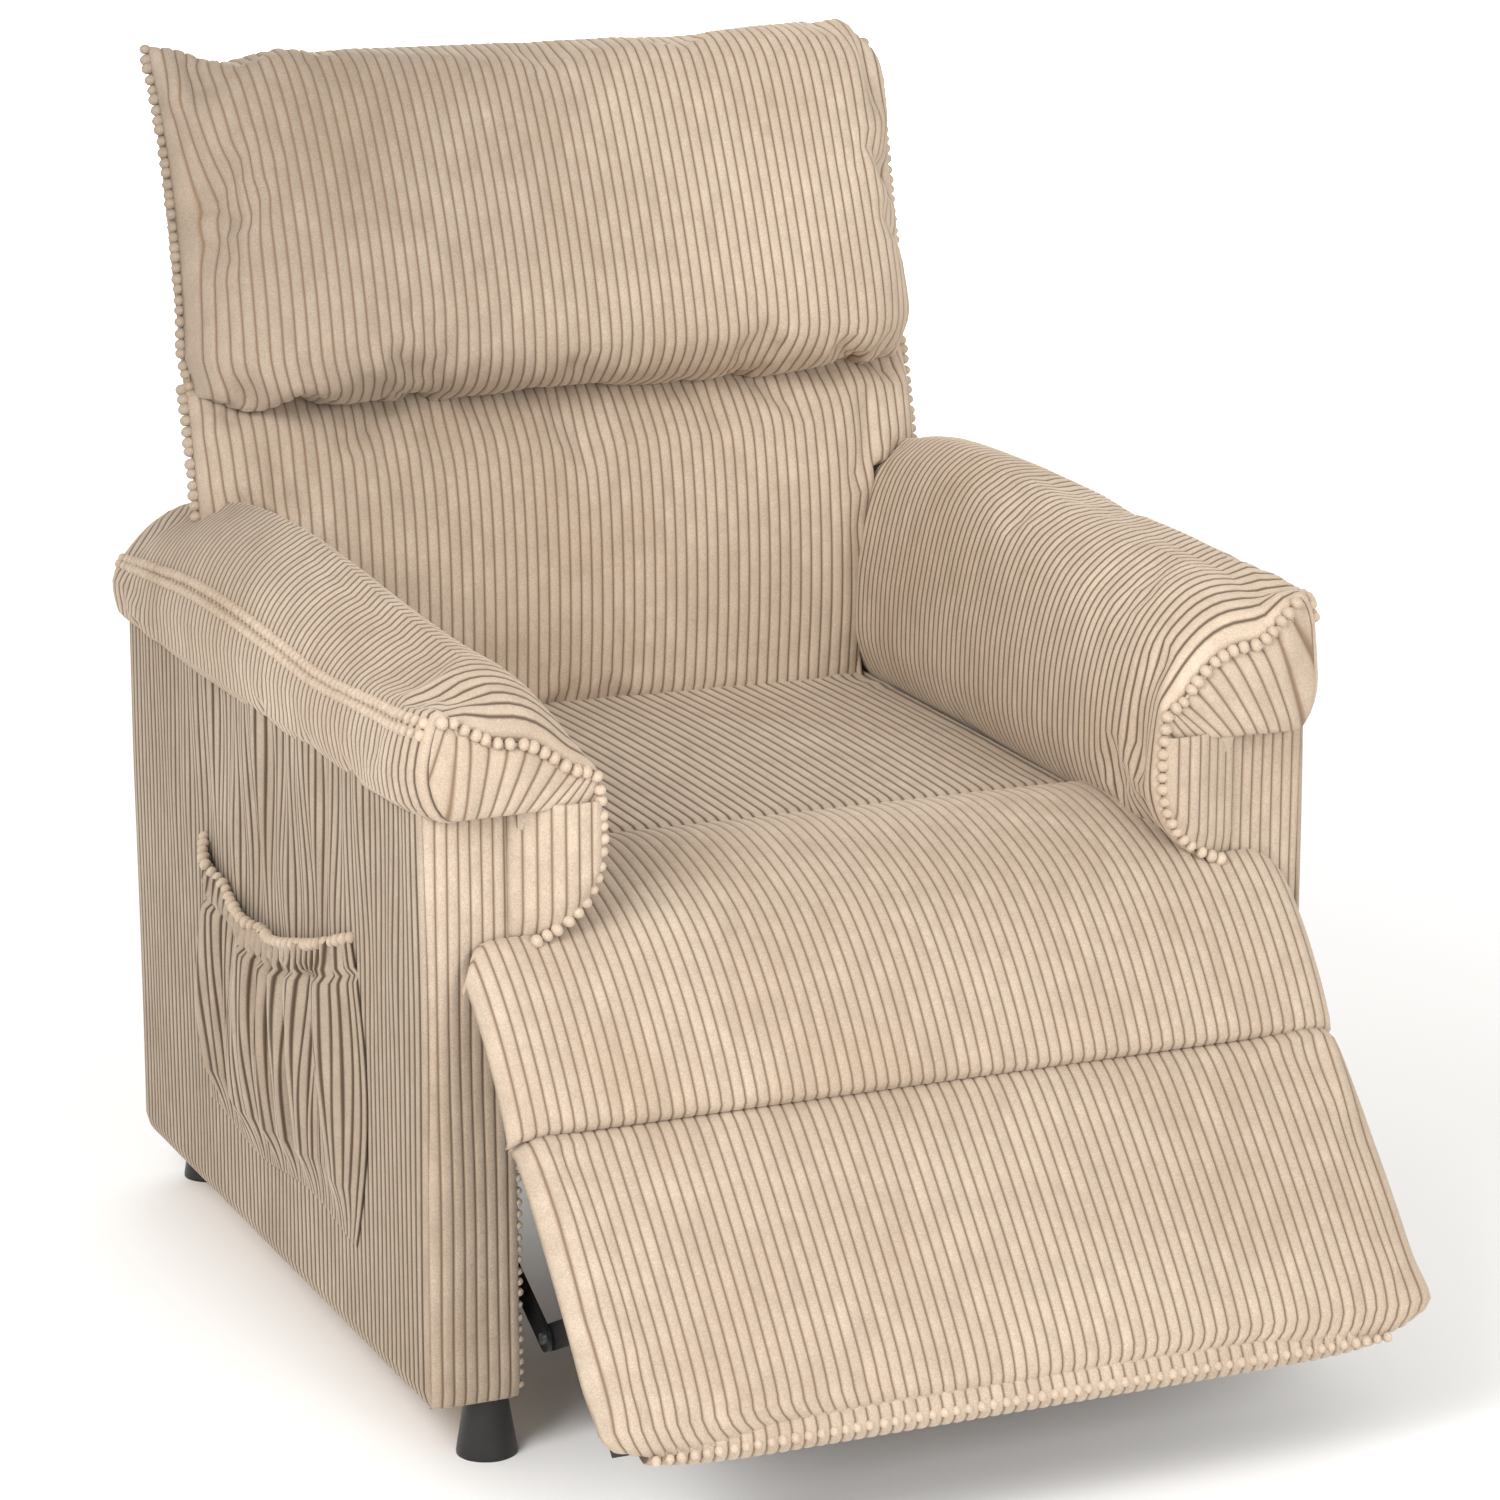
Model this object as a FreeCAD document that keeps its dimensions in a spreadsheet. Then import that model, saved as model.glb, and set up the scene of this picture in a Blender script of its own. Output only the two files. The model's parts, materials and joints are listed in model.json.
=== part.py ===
import FreeCAD, Part
import Sketcher
import math
import os
from types import SimpleNamespace

os.makedirs("parts", exist_ok=True)
doc = FreeCAD.newDocument("Recliner")
Vector = FreeCAD.Vector

# ---------------------------------------------------------------- driving sizes
# Millimetres and degrees. X runs across the chair, Y to its back, Z up from the
# floor. A name ending in _back or _fore is a distance behind or in front of the
# plane of the arms' front faces, and that plane lies at Y = arm_front, which puts
# the origin under the middle of the chair with the footrest half raised.
driving = {
    "arm_front": -275.5,
    # arms
    "arm_span": 790, "arm_depth": 795, "arm_top": 543, "arm_thick": 80,
    "cover_thick": 10, "front_cover_thick": 12, "board_thick": 15, "lining_thick": 10,
    "post_wide": 45, "post_deep": 45, "rail_high": 45,
    # feet
    "foot_height": 52, "foot_low_dia": 50, "foot_high_dia": 34, "foot_inset": 24, "foot_side": 58,
    "stud_dia": 8, "stud_up": 30, "stud_start": 12, "stud_play": 0.05,
    # arm pads: heights above the floor, gaps between the two pads
    "pad_crest": 668, "pad_crest_rear": 622, "pad_low": 440, "pad_bulge": 13,
    "pad_seam": 612, "pad_overhang": 18, "pad_corner": 16, "pad_gap_front": 492, "pad_gap_rear": 584,
    # side pocket
    "pocket_wide": 400, "pocket_high": 225, "pocket_low": 140, "pocket_back": 163,
    "pocket_deep": 11, "pocket_wall": 3,
    # cross rails between the arms, under the seat
    "cross_deep": 40, "cross_high": 44, "cross_low": 240, "cross_fore": 175, "cross_rear": 560,
    # seat frame and seat
    "frame_wide": 562, "frame_fore": 60, "frame_rear": 640, "frame_high": 45, "frame_thick": 40,
    "strap_wide": 50, "strap_thick": 2.5, "strap_pitch": 105,
    "seat_top": 468, "seat_seam": 164, "seat_rear": 628, "seat_low_top": 436,
    # nose of the seat and its hinge
    "nose_thick": 9, "nose_wide": 480, "riser_thick": 18, "nose_up": 397,
    "hinge_fore": 52, "hinge_up": 392, "knuckle_dia": 10, "hinge_pin_dia": 5,
    "leaf_thick": 2.5, "hinge_play": 0.05, "hinge_wide": 440, "hinge_gap": 0.5,
    "shoulder_inset": 24,
    # footrest, measured on its sloping face from the seam between its two pads
    "seam_fore": 124, "seam_up": 309, "board_slope": 46, "panel_long": 252,
    "panel_wide": 726, "foam_thick": 27, "rest_board_thick": 11, "rest_board_wide": 690,
    "rest_board_up": 104, "rest_board_down": 246, "calf_up": 98,
    # steel links
    "steel_thick": 4, "link_wide": 22, "link_inset": 15, "pivot_dia": 10, "pivot_play": 0.1,
    "head_dia": 18, "head_thick": 3, "head_gap": 0.2, "link_gap": 1,
    "plate_long": 90, "plate_high": 60,
    "bracket_down": 125, "bracket_deep": 17, "bracket_wide": 44, "flange_wide": 30,
    "knee_fore": 15, "knee_up": 105, "elbow_back": 64, "elbow_up": 144,
    # back
    "back_lean": 14, "back_foot": 643.3, "back_foot_up": 395,
    "pivot_back": 690, "pivot_up": 395,
    "back_wide": 716, "back_low_wide": 556, "back_frame_wide": 670,
    "wing_up": 272, "crease_up": 370, "back_up": 678, "lumbar_low": 78,
    "back_rail_thick": 20, "back_rail_high": 60, "back_skin_thick": 5,
    "stile_wide": 45, "stile_apart": 509, "stile_down": 24, "back_rail_low": 10,
    "lumbar_thick": 62, "lumbar_thin": 27, "head_thick_pad": 105, "head_wide": 728,
    "hinge_plate_thick": 3, "hinge_plate_gap": 1, "soft_gap": 0.5,
}
sheet = doc.addObject("Spreadsheet::Sheet", "Sizes")
for row, (alias, value) in enumerate(driving.items(), start=1):
    sheet.set("A%d" % row, alias)
    sheet.set("B%d" % row, str(value))
    sheet.setAlias("B%d" % row, alias)
doc.recompute()
s = SimpleNamespace(**{alias: float(sheet.get(alias)) for alias in driving})

half = s.arm_span / 2
inner = half - s.arm_thick          # inner faces of the arms
link_at = inner - s.link_inset      # middle planes of the driven links
sides = (("left", -1), ("right", 1))
nodes = []


# ---------------------------------------------------------------- small makers
def bind(obj, **formulas):
    """Binds properties to formulas, where # stands for a name in the sheet."""
    for prop, formula in formulas.items():
        obj.setExpression(prop, formula.replace("#", "Sizes."))


def place(x, back, up):
    """X across, back behind the plane of the arms' fronts, up from the floor."""
    return FreeCAD.Placement(Vector(x, s.arm_front + back, up), FreeCAD.Rotation())


def leaning(back, up, lean):
    """A frame turned back by lean degrees: its Z climbs the slope, its Y goes behind it."""
    turn = FreeCAD.Rotation(Vector(1, 0, 0), -lean)
    return FreeCAD.Placement(Vector(0, s.arm_front + back, up), turn)


chair = place(0, 0, 0)
rest = leaning(-s.seam_fore, s.seam_up, 90 - s.board_slope)      # the footrest's frame
back = leaning(s.back_foot, s.back_foot_up, s.back_lean)         # the back's frame


def keep(obj, label, placement):
    """Names a finished sub-part, places it and lists it for export."""
    obj.Label = label
    obj.Placement = placement
    nodes.append(obj)
    return obj


def shifted(frame, x, y, z):
    return frame.multiply(FreeCAD.Placement(Vector(x, y, z), FreeCAD.Rotation()))


def raw_box(name, wide, deep, high, centre, y, z):
    """A box centred on X = centre whose near lower edge is at y, z."""
    obj = doc.addObject("Part::Box", name)
    bind(obj, Length=wide, Width=deep, Height=high)
    doc.recompute()
    corner = Vector(centre - obj.Length.Value / 2, y, z)
    obj.Placement = FreeCAD.Placement(corner, FreeCAD.Rotation())
    return obj


def board(label, wide, deep, high, centre, y, z, frame=chair):
    obj = raw_box(label, wide, deep, high, centre, y, z)
    return keep(obj, label, frame.multiply(obj.Placement))


def group(label, members, frame=chair):
    """Identical loose pieces in one node."""
    obj = doc.addObject("Part::Compound", label)
    obj.Links = members
    return keep(obj, label, frame)


def rod(name, radius, long, centre, y, z):
    """A cylinder along X, centred on X = centre."""
    obj = doc.addObject("Part::Cylinder", name)
    bind(obj, Radius=radius, Height=long)
    doc.recompute()
    turn = FreeCAD.Rotation(Vector(0, 1, 0), 90)
    obj.Placement = FreeCAD.Placement(Vector(centre - obj.Height.Value / 2, y, z), turn)
    return obj


def joined(name, members):
    obj = doc.addObject("Part::MultiFuse", name)
    obj.Shapes = members
    return obj


def bored(name, base, tool):
    obj = doc.addObject("Part::Cut", name)
    obj.Base = base
    obj.Tool = tool
    return obj


def prism(points, wide):
    """A solid with the outline points (y, z), wide across X about X = 0."""
    corners = [Vector(-wide / 2, y, z) for y, z in points]
    outline = Part.Face(Part.makePolygon(corners + corners[:1]))
    return outline.extrude(Vector(wide, 0, 0))


def soft(label, shape, frame=chair):
    """A padded piece: a plain closed solid."""
    obj = doc.addObject("Part::Feature", label)
    obj.Shape = shape
    return keep(obj, label, frame)


def new_body(name):
    body = doc.addObject("PartDesign::Body", name)
    doc.recompute()
    return body


def sketch_on(body, role, name):
    plane = [f for f in body.Origin.OriginFeatures if f.Role == role][0]
    sketch = body.newObject("Sketcher::SketchObject", name)
    sketch.AttachmentSupport = [(plane, "")]
    sketch.MapMode = "FlatFace"
    return sketch


def polyline(sketch, points):
    for a, b in zip(points, points[1:] + points[:1]):
        sketch.addGeometry(Part.LineSegment(Vector(a[0], a[1], 0), Vector(b[0], b[1], 0)), False)


def hole(sketch, y, z, diameter):
    """A round hole whose diameter follows the sheet."""
    index = sketch.addGeometry(Part.Circle(Vector(y, z, 0), Vector(0, 0, 1), 1.0), False)
    number = sketch.addConstraint(Sketcher.Constraint("Diameter", index, 2.0))
    sketch.setExpression("Constraints[%d]" % number, diameter.replace("#", "Sizes."))


def pad(body, sketch, thickness):
    feature = body.newObject("PartDesign::Pad", sketch.Name + "_Pad")
    feature.Profile = sketch
    bind(feature, Length=thickness)
    doc.recompute()
    return feature


def bar(body, name, a, b, wide, thickness, hole_a=None, hole_b=None):
    """A flat bar with round ends from a to b (y, z), drilled where a hole is given."""
    sketch = sketch_on(body, "YZ_Plane", name)
    angle = math.atan2(b[1] - a[1], b[0] - a[0])
    side = Vector(-math.sin(angle), math.cos(angle), 0) * (wide / 2)
    ends = [Vector(a[0], a[1], 0), Vector(b[0], b[1], 0)]
    sketch.addGeometry(Part.LineSegment(ends[0] - side, ends[1] - side), False)
    sketch.addGeometry(Part.LineSegment(ends[1] + side, ends[0] + side), False)
    quarter = math.pi / 2
    for end, start in ((ends[1], angle - quarter), (ends[0], angle + quarter)):
        round_end = Part.Circle(end, Vector(0, 0, 1), wide / 2)
        sketch.addGeometry(Part.ArcOfCircle(round_end, start, start + math.pi), False)
    for centre, diameter in ((a, hole_a), (b, hole_b)):
        if diameter:
            hole(sketch, centre[0], centre[1], diameter)
    return pad(body, sketch, thickness)


# ---------------------------------------------------------------- feet
post_centre = inner + s.lining_thick + s.post_wide / 2
foot_x = half - s.foot_side
foot_rows = (("front", s.foot_inset), ("rear", s.arm_depth - s.foot_inset))


def make_foot(label, x, y):
    body = new_body(label)
    sketch = sketch_on(body, "XZ_Plane", label + "_profile")
    bore = s.stud_dia / 2 + s.stud_play
    low, high = s.foot_low_dia / 2, s.foot_high_dia / 2
    top = s.foot_height
    start = s.stud_start
    polyline(sketch, [(0, 0), (low, 0), (low, 3), (high, top), (bore, top), (bore, start), (0, start)])
    turn = body.newObject("PartDesign::Revolution", label + "_turned")
    turn.Profile = sketch
    turn.ReferenceAxis = (sketch, ["V_Axis"])
    turn.Angle = 360
    doc.recompute()
    keep(body, label, place(x, y, 0))


studs = []
for row, y in foot_rows:
    for side, sign in sides:
        make_foot("foot_%s_%s" % (row, side), sign * foot_x, y)
        stud = doc.addObject("Part::Cylinder", "stud_%s_%s" % (row, side))
        bind(stud, Radius="#stud_dia / 2", Height="#foot_height - #stud_start + #stud_up")
        stud.Placement = FreeCAD.Placement(Vector(sign * foot_x, y, s.stud_start), FreeCAD.Rotation())
        studs.append(stud)
group("foot_studs", studs)

# ---------------------------------------------------------------- arms

def gap_at(y):
    """Half the gap between the arm pads at a distance behind the arms' fronts."""
    along = (y + s.pad_overhang) / (s.arm_depth + s.pad_overhang)
    return (s.pad_gap_front + (s.pad_gap_rear - s.pad_gap_front) * along) / 2


def pad_section(sign, y, crest):
    """The arm pad cut across: over the arm and down its inner side."""
    gap = gap_at(y)
    corner = min(s.pad_corner, 0.75 * (inner - gap))     # no wider than the drop it rounds
    across = [
        (half - 2, s.arm_top), (half + s.pad_bulge, s.arm_top + 32), (half + s.pad_bulge - 4, s.pad_seam),
        (half - 23, max(crest - 14, s.pad_seam + 6)), (half - 62, crest), (gap + 30, crest - 22),
        (gap, s.arm_top + 32), (gap, s.pad_low + 50), (gap + corner, s.pad_low + 4),
        (inner, s.pad_low), (inner, s.arm_top),
    ]
    points = [Vector(sign * x, y, z) for x, z in across]
    return Part.makePolygon(points + points[:1])


def make_post(name, sign, y):
    post = raw_box(name, "#post_wide", "#post_deep", "#arm_top - #foot_height",
                   sign * post_centre, y, s.foot_height)
    bore = doc.addObject("Part::Cylinder", name + "_bore")
    bind(bore, Radius="#stud_dia / 2 + #stud_play", Height="#stud_up + #stud_play")
    stud_y = s.foot_inset if y < s.arm_depth / 2 else s.arm_depth - s.foot_inset
    bore.Placement = FreeCAD.Placement(Vector(sign * foot_x, stud_y, s.foot_height), FreeCAD.Rotation())
    return bored(name + "_bored", post, bore)


def make_side_cover(side, sign):
    """Padded cloth over the outer face and the rear end of an arm."""
    body = new_body(side + "_side_cover")
    sketch = sketch_on(body, "XY_Plane", side + "_cover_plan")
    skin, depth = s.cover_thick, s.arm_depth
    plan = [(half, 0), (half, depth), (inner, depth), (inner, depth - skin), (half - skin, depth - skin),
            (half - skin, 0)]
    polyline(sketch, [(sign * x, y) for x, y in plan])
    pad(body, sketch, "#arm_top - #foot_height")
    keep(body, side + "_side_cover", place(0, 0, s.foot_height))


for side, sign in sides:
    depth_in = "#arm_depth - #front_cover_thick - #cover_thick"
    board(side + "_side_board", "#board_thick", depth_in, "#arm_top - #foot_height",
          sign * (half - s.cover_thick - s.board_thick / 2), s.front_cover_thick, s.foot_height)
    board(side + "_arm_lining", "#lining_thick", depth_in, "#arm_top - #foot_height",
          sign * (inner + s.lining_thick / 2), s.front_cover_thick, s.foot_height)
    board(side + "_arm_front_panel", "#arm_thick - #cover_thick", "#front_cover_thick",
          "#arm_top - #foot_height", sign * (inner + (s.arm_thick - s.cover_thick) / 2), 0, s.foot_height)
    near, far = s.front_cover_thick, s.arm_depth - s.cover_thick - s.post_deep
    posts = [make_post(side + "_front_post", sign, near), make_post(side + "_rear_post", sign, far)]
    group(side + "_arm_posts", posts)
    rail_long = "#arm_depth - #front_cover_thick - #cover_thick - 2 * #post_deep"
    rails = [raw_box("%s_arm_rail_%d" % (side, z), "#post_wide", rail_long, "#rail_high", sign * post_centre,
                     near + s.post_deep, z) for z in (s.foot_height, s.arm_top - s.rail_high)]
    group(side + "_arm_rails", rails)
    make_side_cover(side, sign)
    stations = ((-s.pad_overhang, s.pad_crest - 8), (520, s.pad_crest), (s.arm_depth + 5, s.pad_crest_rear))
    wires = [pad_section(sign, y, crest) for y, crest in stations]
    soft(side + "_arm_pad", Part.makeLoft(wires, True, True))

pocket_centre = -(half + (s.pocket_deep + s.pocket_wall) / 2)
pouch = raw_box("pouch", "#pocket_deep + #pocket_wall", "#pocket_wide", "#pocket_high",
                pocket_centre, s.pocket_back, s.pocket_low)
hollow = raw_box("pouch_hollow", "#pocket_deep", "#pocket_wide - 2 * #pocket_wall", "#pocket_high",
                 -(half + s.pocket_deep / 2), s.pocket_back + s.pocket_wall, s.pocket_low + s.pocket_wall)
keep(bored("side_pocket", pouch, hollow), "side_pocket", chair)

# ---------------------------------------------------------------- seat frame
frame_low = s.cross_low + s.cross_high
frame_top = frame_low + s.frame_high
strap_top = frame_top + s.strap_thick
frame_half = s.frame_wide / 2
cross = [raw_box("cross_rail_%d" % y, "#arm_span - 2 * #arm_thick", "#cross_deep", "#cross_high",
                 0, y, s.cross_low) for y in (s.cross_fore, s.cross_rear)]
group("seat_cross_rails", cross)
side_rails = [raw_box("seat_side_rail_" + side, "#frame_thick", "#frame_rear - #frame_fore", "#frame_high",
                      sign * (frame_half - s.frame_thick / 2), s.frame_fore, frame_low)
              for side, sign in sides]
group("seat_side_rails", side_rails)
end_rails = [raw_box("seat_end_rail_%d" % y, "#frame_wide - 2 * #frame_thick", "#frame_thick", "#frame_high",
                     0, y, frame_low) for y in (s.frame_fore, s.frame_rear - s.frame_thick)]
group("seat_end_rails", end_rails)
riser_back = s.frame_fore + 2
strap_fore = riser_back + s.riser_thick + 2
straps = []
for index in range(-2, 3):
    strap = raw_box("strap_%d" % (index + 2), "#strap_wide", "#frame_rear", "#strap_thick",
                    index * s.strap_pitch, strap_fore, frame_top)
    strap.setExpression("Width", "Sizes.frame_rear - %g" % strap_fore)
    straps.append(strap)
group("seat_straps", straps)
board("nose_riser", "#nose_wide", "#riser_thick", "#nose_up - #cross_low - #cross_high - #frame_high",
      0, riser_back, frame_top)
nose_fore = s.hinge_fore - 22
board("nose_board", "#nose_wide", "#riser_thick + %g" % (riser_back + nose_fore), "#nose_thick",
      0, -nose_fore, s.nose_up)

# ---------------------------------------------------------------- seat padding
low_corner = Vector(-inner + s.soft_gap, s.seat_seam + s.soft_gap, strap_top)
lower = Part.makeBox(-2 * low_corner.x, s.seat_rear - low_corner.y, s.seat_low_top - strap_top, low_corner)
corners = []
for y in (s.seat_seam + s.soft_gap, s.seat_rear):
    corners.append((gap_at(y) - 2, y))
rows = ((1, corners), (-1, corners[::-1]))
plan = [Vector(sign * x, y, s.seat_low_top) for sign, row in rows for x, y in row]
upper = Part.Face(Part.makePolygon(plan + plan[:1])).extrude(Vector(0, 0, s.seat_top - s.seat_low_top))
soft("seat_cushion", lower.fuse(upper).removeSplitter())

nose_top = s.nose_up + s.nose_thick
roll_tip = (-s.hinge_fore - 5, s.nose_up + 1)
roll_top = [(-s.hinge_fore + 8, nose_top - 1), (-30, nose_top + 8), (-10, nose_top + 21)]
roll_rise = [(20, s.seat_top - 28), (60, s.seat_top - 17), (110, s.seat_top - 8),
             (s.seat_seam, s.seat_top - 2)]
under_tip = [(-nose_fore - 1, nose_top), (-s.hinge_fore + 4, s.nose_up + 3)]
shelf = [(s.seat_seam, strap_top), (strap_fore, strap_top), (strap_fore, nose_top)] + under_tip
narrow = prism([roll_tip] + roll_top + roll_rise + shelf, 2 * (gap_at(-s.pad_overhang) - 3))
shoulder = [roll_tip] + roll_top + [(-s.soft_gap, nose_top + 27), (-s.soft_gap, nose_top)] + under_tip
wide = prism(shoulder, s.arm_span - 2 * s.shoulder_inset)
soft("front_roll", narrow.fuse(wide).removeSplitter())

# ---------------------------------------------------------------- nose hinge
hinge = (-s.hinge_fore, s.hinge_up)
knuckle = s.hinge_wide / 11
knuckle_radius = s.knuckle_dia / 2


def leaf_shape(parity, tab, plates):
    """A hinge leaf about its pin: every second knuckle, their tabs and its flat plates."""
    bodies = [Part.makeBox(*plate) for plate in plates]
    for index in range(parity, 11, 2):
        start = -s.hinge_wide / 2 + index * knuckle + s.hinge_gap / 2
        long = knuckle - s.hinge_gap
        bodies.append(Part.makeCylinder(knuckle_radius, long, Vector(start, 0, 0), Vector(1, 0, 0)))
        low, high = tab
        bodies.append(Part.makeBox(long, 2 * knuckle_radius, high - low, Vector(start, 0, low)))
    solid = bodies[0].multiFuse(bodies[1:])
    bore = s.hinge_pin_dia / 2 + s.hinge_play
    drill = Part.makeCylinder(bore, s.hinge_wide + 2, Vector(-s.hinge_wide / 2 - 1, 0, 0), Vector(1, 0, 0))
    solid = solid.cut(drill)
    return solid.removeSplitter()


reach = knuckle_radius + s.hinge_gap
fixed_low = knuckle_radius - s.leaf_thick
fixed_plate = (s.hinge_wide, 42, s.leaf_thick, Vector(-s.hinge_wide / 2, reach, fixed_low))
fixed_leaf = leaf_shape(0, (fixed_low, knuckle_radius), [fixed_plate])
soft("nose_hinge_leaf", fixed_leaf, place(0, *hinge))
slope = math.radians(s.board_slope)
depth_axis = (math.sin(slope), -math.cos(slope))
offset = (hinge[0] + s.seam_fore, hinge[1] - s.seam_up)
hinge_deep = offset[0] * depth_axis[0] + offset[1] * depth_axis[1]
rear_face = s.foam_thick + s.rest_board_thick
leaf_deep = rear_face + s.leaf_thick - hinge_deep
moving_plates = [
    (s.hinge_wide, leaf_deep - reach, s.leaf_thick, Vector(-s.hinge_wide / 2, reach, -s.leaf_thick / 2)),
    (s.hinge_wide, s.leaf_thick, 45, Vector(-s.hinge_wide / 2, leaf_deep - s.leaf_thick, -45)),
]
moving_leaf = leaf_shape(1, (-s.leaf_thick / 2, s.leaf_thick / 2), moving_plates)
leaf_turn = FreeCAD.Placement(Vector(), FreeCAD.Rotation(Vector(1, 0, 0), s.board_slope - 90))
soft("footrest_hinge_leaf", moving_leaf, place(0, *hinge).multiply(leaf_turn))
keep(rod("hinge_pin_rod", "#hinge_pin_dia / 2", "#hinge_wide", 0, *hinge), "hinge_pin",
     chair.multiply(doc.getObject("hinge_pin_rod").Placement))

# ---------------------------------------------------------------- footrest
board("footrest_board", "#rest_board_wide", "#rest_board_thick", "#rest_board_up + #rest_board_down",
      0, s.foam_thick, -s.rest_board_down, rest)
board("calf_pad", "#panel_wide", "#foam_thick - #soft_gap", "#calf_up - #soft_gap", 0, 0, s.soft_gap, rest)
board("footrest_pad", "#panel_wide", "#foam_thick - #soft_gap", "#panel_long - #soft_gap",
      0, 0, -s.panel_long, rest)

bracket_x = link_at - 2 * s.steel_thick - 3 * s.link_gap
pivot_deep = rear_face + s.bracket_deep
for side, sign in sides:
    web = raw_box(side + "_bracket_web", "#steel_thick", "#bracket_deep + #link_wide / 2", "#bracket_wide",
                  sign * bracket_x, rear_face, -s.bracket_down - s.bracket_wide / 2)
    flange = raw_box(side + "_bracket_flange", "#flange_wide", "#steel_thick", "#bracket_wide",
                     sign * (bracket_x + s.steel_thick / 2 - s.flange_wide / 2), rear_face,
                     -s.bracket_down - s.bracket_wide / 2)
    both = joined(side + "_bracket_solid", [web, flange])
    drill = rod(side + "_bracket_drill", "#pivot_dia / 2 + 0.05", "#steel_thick * 3", sign * bracket_x,
                pivot_deep, -s.bracket_down)
    keep(bored(side + "_footrest_bracket", both, drill), side + "_footrest_bracket", rest)

# ---------------------------------------------------------------- links
# The knee hangs as far from the fixed pivot as the bracket's pivot hangs from the
# nose hinge, so hinge, bracket, knee and fixed pivot make a parallelogram.
slope_axis = (math.cos(slope), math.sin(slope))
bracket_pivot = (-s.seam_fore + pivot_deep * depth_axis[0] - s.bracket_down * slope_axis[0],
                 s.seam_up + pivot_deep * depth_axis[1] - s.bracket_down * slope_axis[1])
knee = (-s.knee_fore, s.knee_up)
elbow = (s.elbow_back, s.elbow_up)
fixed_pivot = (knee[0] - (bracket_pivot[0] - hinge[0]), knee[1] - (bracket_pivot[1] - hinge[1]))
brace_x = link_at - s.steel_thick - s.link_gap

plates, link_studs, bracket_pins = [], [], []
for side, sign in sides:
    drive = new_body(side + "_drive_link")
    bar(drive, side + "_upper_run", fixed_pivot, elbow, s.link_wide, "#steel_thick",
        hole_a="#pivot_dia + 2 * #pivot_play")
    bar(drive, side + "_lower_run", elbow, knee, s.link_wide, "#steel_thick", hole_b="#pivot_dia + 0.1")
    keep(drive, side + "_drive_link", place(sign * link_at - s.steel_thick / 2, 0, 0))
    brace = new_body(side + "_brace_link")
    bar(brace, side + "_brace_run", knee, bracket_pivot, s.link_wide, "#steel_thick",
        hole_a="#pivot_dia + 4 * #pivot_play", hole_b="#pivot_dia + 2 * #pivot_play")
    keep(brace, side + "_brace_link", place(sign * brace_x - s.steel_thick / 2, 0, 0))
    board(side + "_link_plate", "#steel_thick", "#plate_long", "#plate_high",
          sign * (inner - s.steel_thick / 2), fixed_pivot[0] - s.plate_high / 2,
          fixed_pivot[1] - s.plate_high / 2)
    link_face = link_at - s.steel_thick / 2
    shank_long = inner - s.steel_thick - link_face + s.head_gap
    shank = rod(side + "_stud_shank", "#pivot_dia / 2",
                "#link_inset - #steel_thick * 3 / 2 + #head_gap",
                sign * (link_face - s.head_gap + shank_long / 2), *fixed_pivot)
    cap = rod(side + "_stud_cap", "#head_dia / 2", "#head_thick",
              sign * (link_face - s.head_gap - s.head_thick / 2), *fixed_pivot)
    link_studs.append(joined(side + "_link_stud", [shank, cap]))
    pin_from = bracket_x - s.steel_thick / 2
    pin_long = 2 * s.steel_thick + 2 * s.link_gap + s.head_gap
    pin = rod(side + "_bracket_shank", "#pivot_dia / 2", "2 * #steel_thick + 2 * #link_gap + #head_gap",
              sign * (pin_from + pin_long / 2), *bracket_pivot)
    pin_cap = rod(side + "_bracket_cap", "#head_dia / 2", "#head_thick - 1",
                  sign * (brace_x + s.steel_thick / 2 + s.head_gap + (s.head_thick - 1) / 2), *bracket_pivot)
    bracket_pins.append(joined(side + "_bracket_pin", [pin, pin_cap]))
group("link_pivot_studs", link_studs)
group("bracket_pins", bracket_pins)
knee_long = "#arm_span - 2 * #arm_thick - 2 * #link_inset + #steel_thick + 4"
knee_bar = rod("knee_bar", "#pivot_dia / 2", knee_long, 0, *knee)
keep(knee_bar, "knee_rod", chair.multiply(knee_bar.Placement))

# ---------------------------------------------------------------- back
lean = math.radians(s.back_lean)
rise = (s.pivot_back - s.back_foot, s.pivot_up - s.back_foot_up)
pivot_y = rise[0] * math.cos(lean) - rise[1] * math.sin(lean)
pivot_z = rise[0] * math.sin(lean) + rise[1] * math.cos(lean)
front_layer = 2
rear_layer = front_layer + s.back_rail_thick
skin_layer = rear_layer + s.back_rail_thick
stile_x = s.stile_apart / 2
top_rail = s.back_up - s.back_rail_high - 6

stiles = [raw_box("back_stile_" + side, "#stile_wide", "#back_rail_thick", "#back_up + #stile_down - 18",
                  sign * stile_x, rear_layer, -s.stile_down) for side, sign in sides]
group("back_stiles", stiles, back)
wing_low = s.wing_up + 8
wing_stiles = [raw_box("wing_stile_" + side, "#stile_wide - 12", "#back_rail_thick",
                       "#back_up - #wing_up - 14",
                       sign * (s.back_frame_wide / 2 - (s.stile_wide - 12) / 2), rear_layer, wing_low)
               for side, sign in sides]
group("back_wing_stiles", wing_stiles, back)
rails = [raw_box("back_rail_%d" % z, "#back_frame_wide", "#back_rail_thick", "#back_rail_high",
                 0, front_layer, z) for z in (wing_low, top_rail)]
group("back_cross_rails", rails, back)
board("back_bottom_rail", "#stile_apart", "#back_rail_thick", "#back_rail_high",
      0, front_layer, s.back_rail_low, back)
belt_rows = [s.back_rail_low + s.back_rail_high + 15 + 65 * n for n in range(3)]
belt_rows += [wing_low + s.back_rail_high + 30 + 80 * n for n in range(3)]
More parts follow.
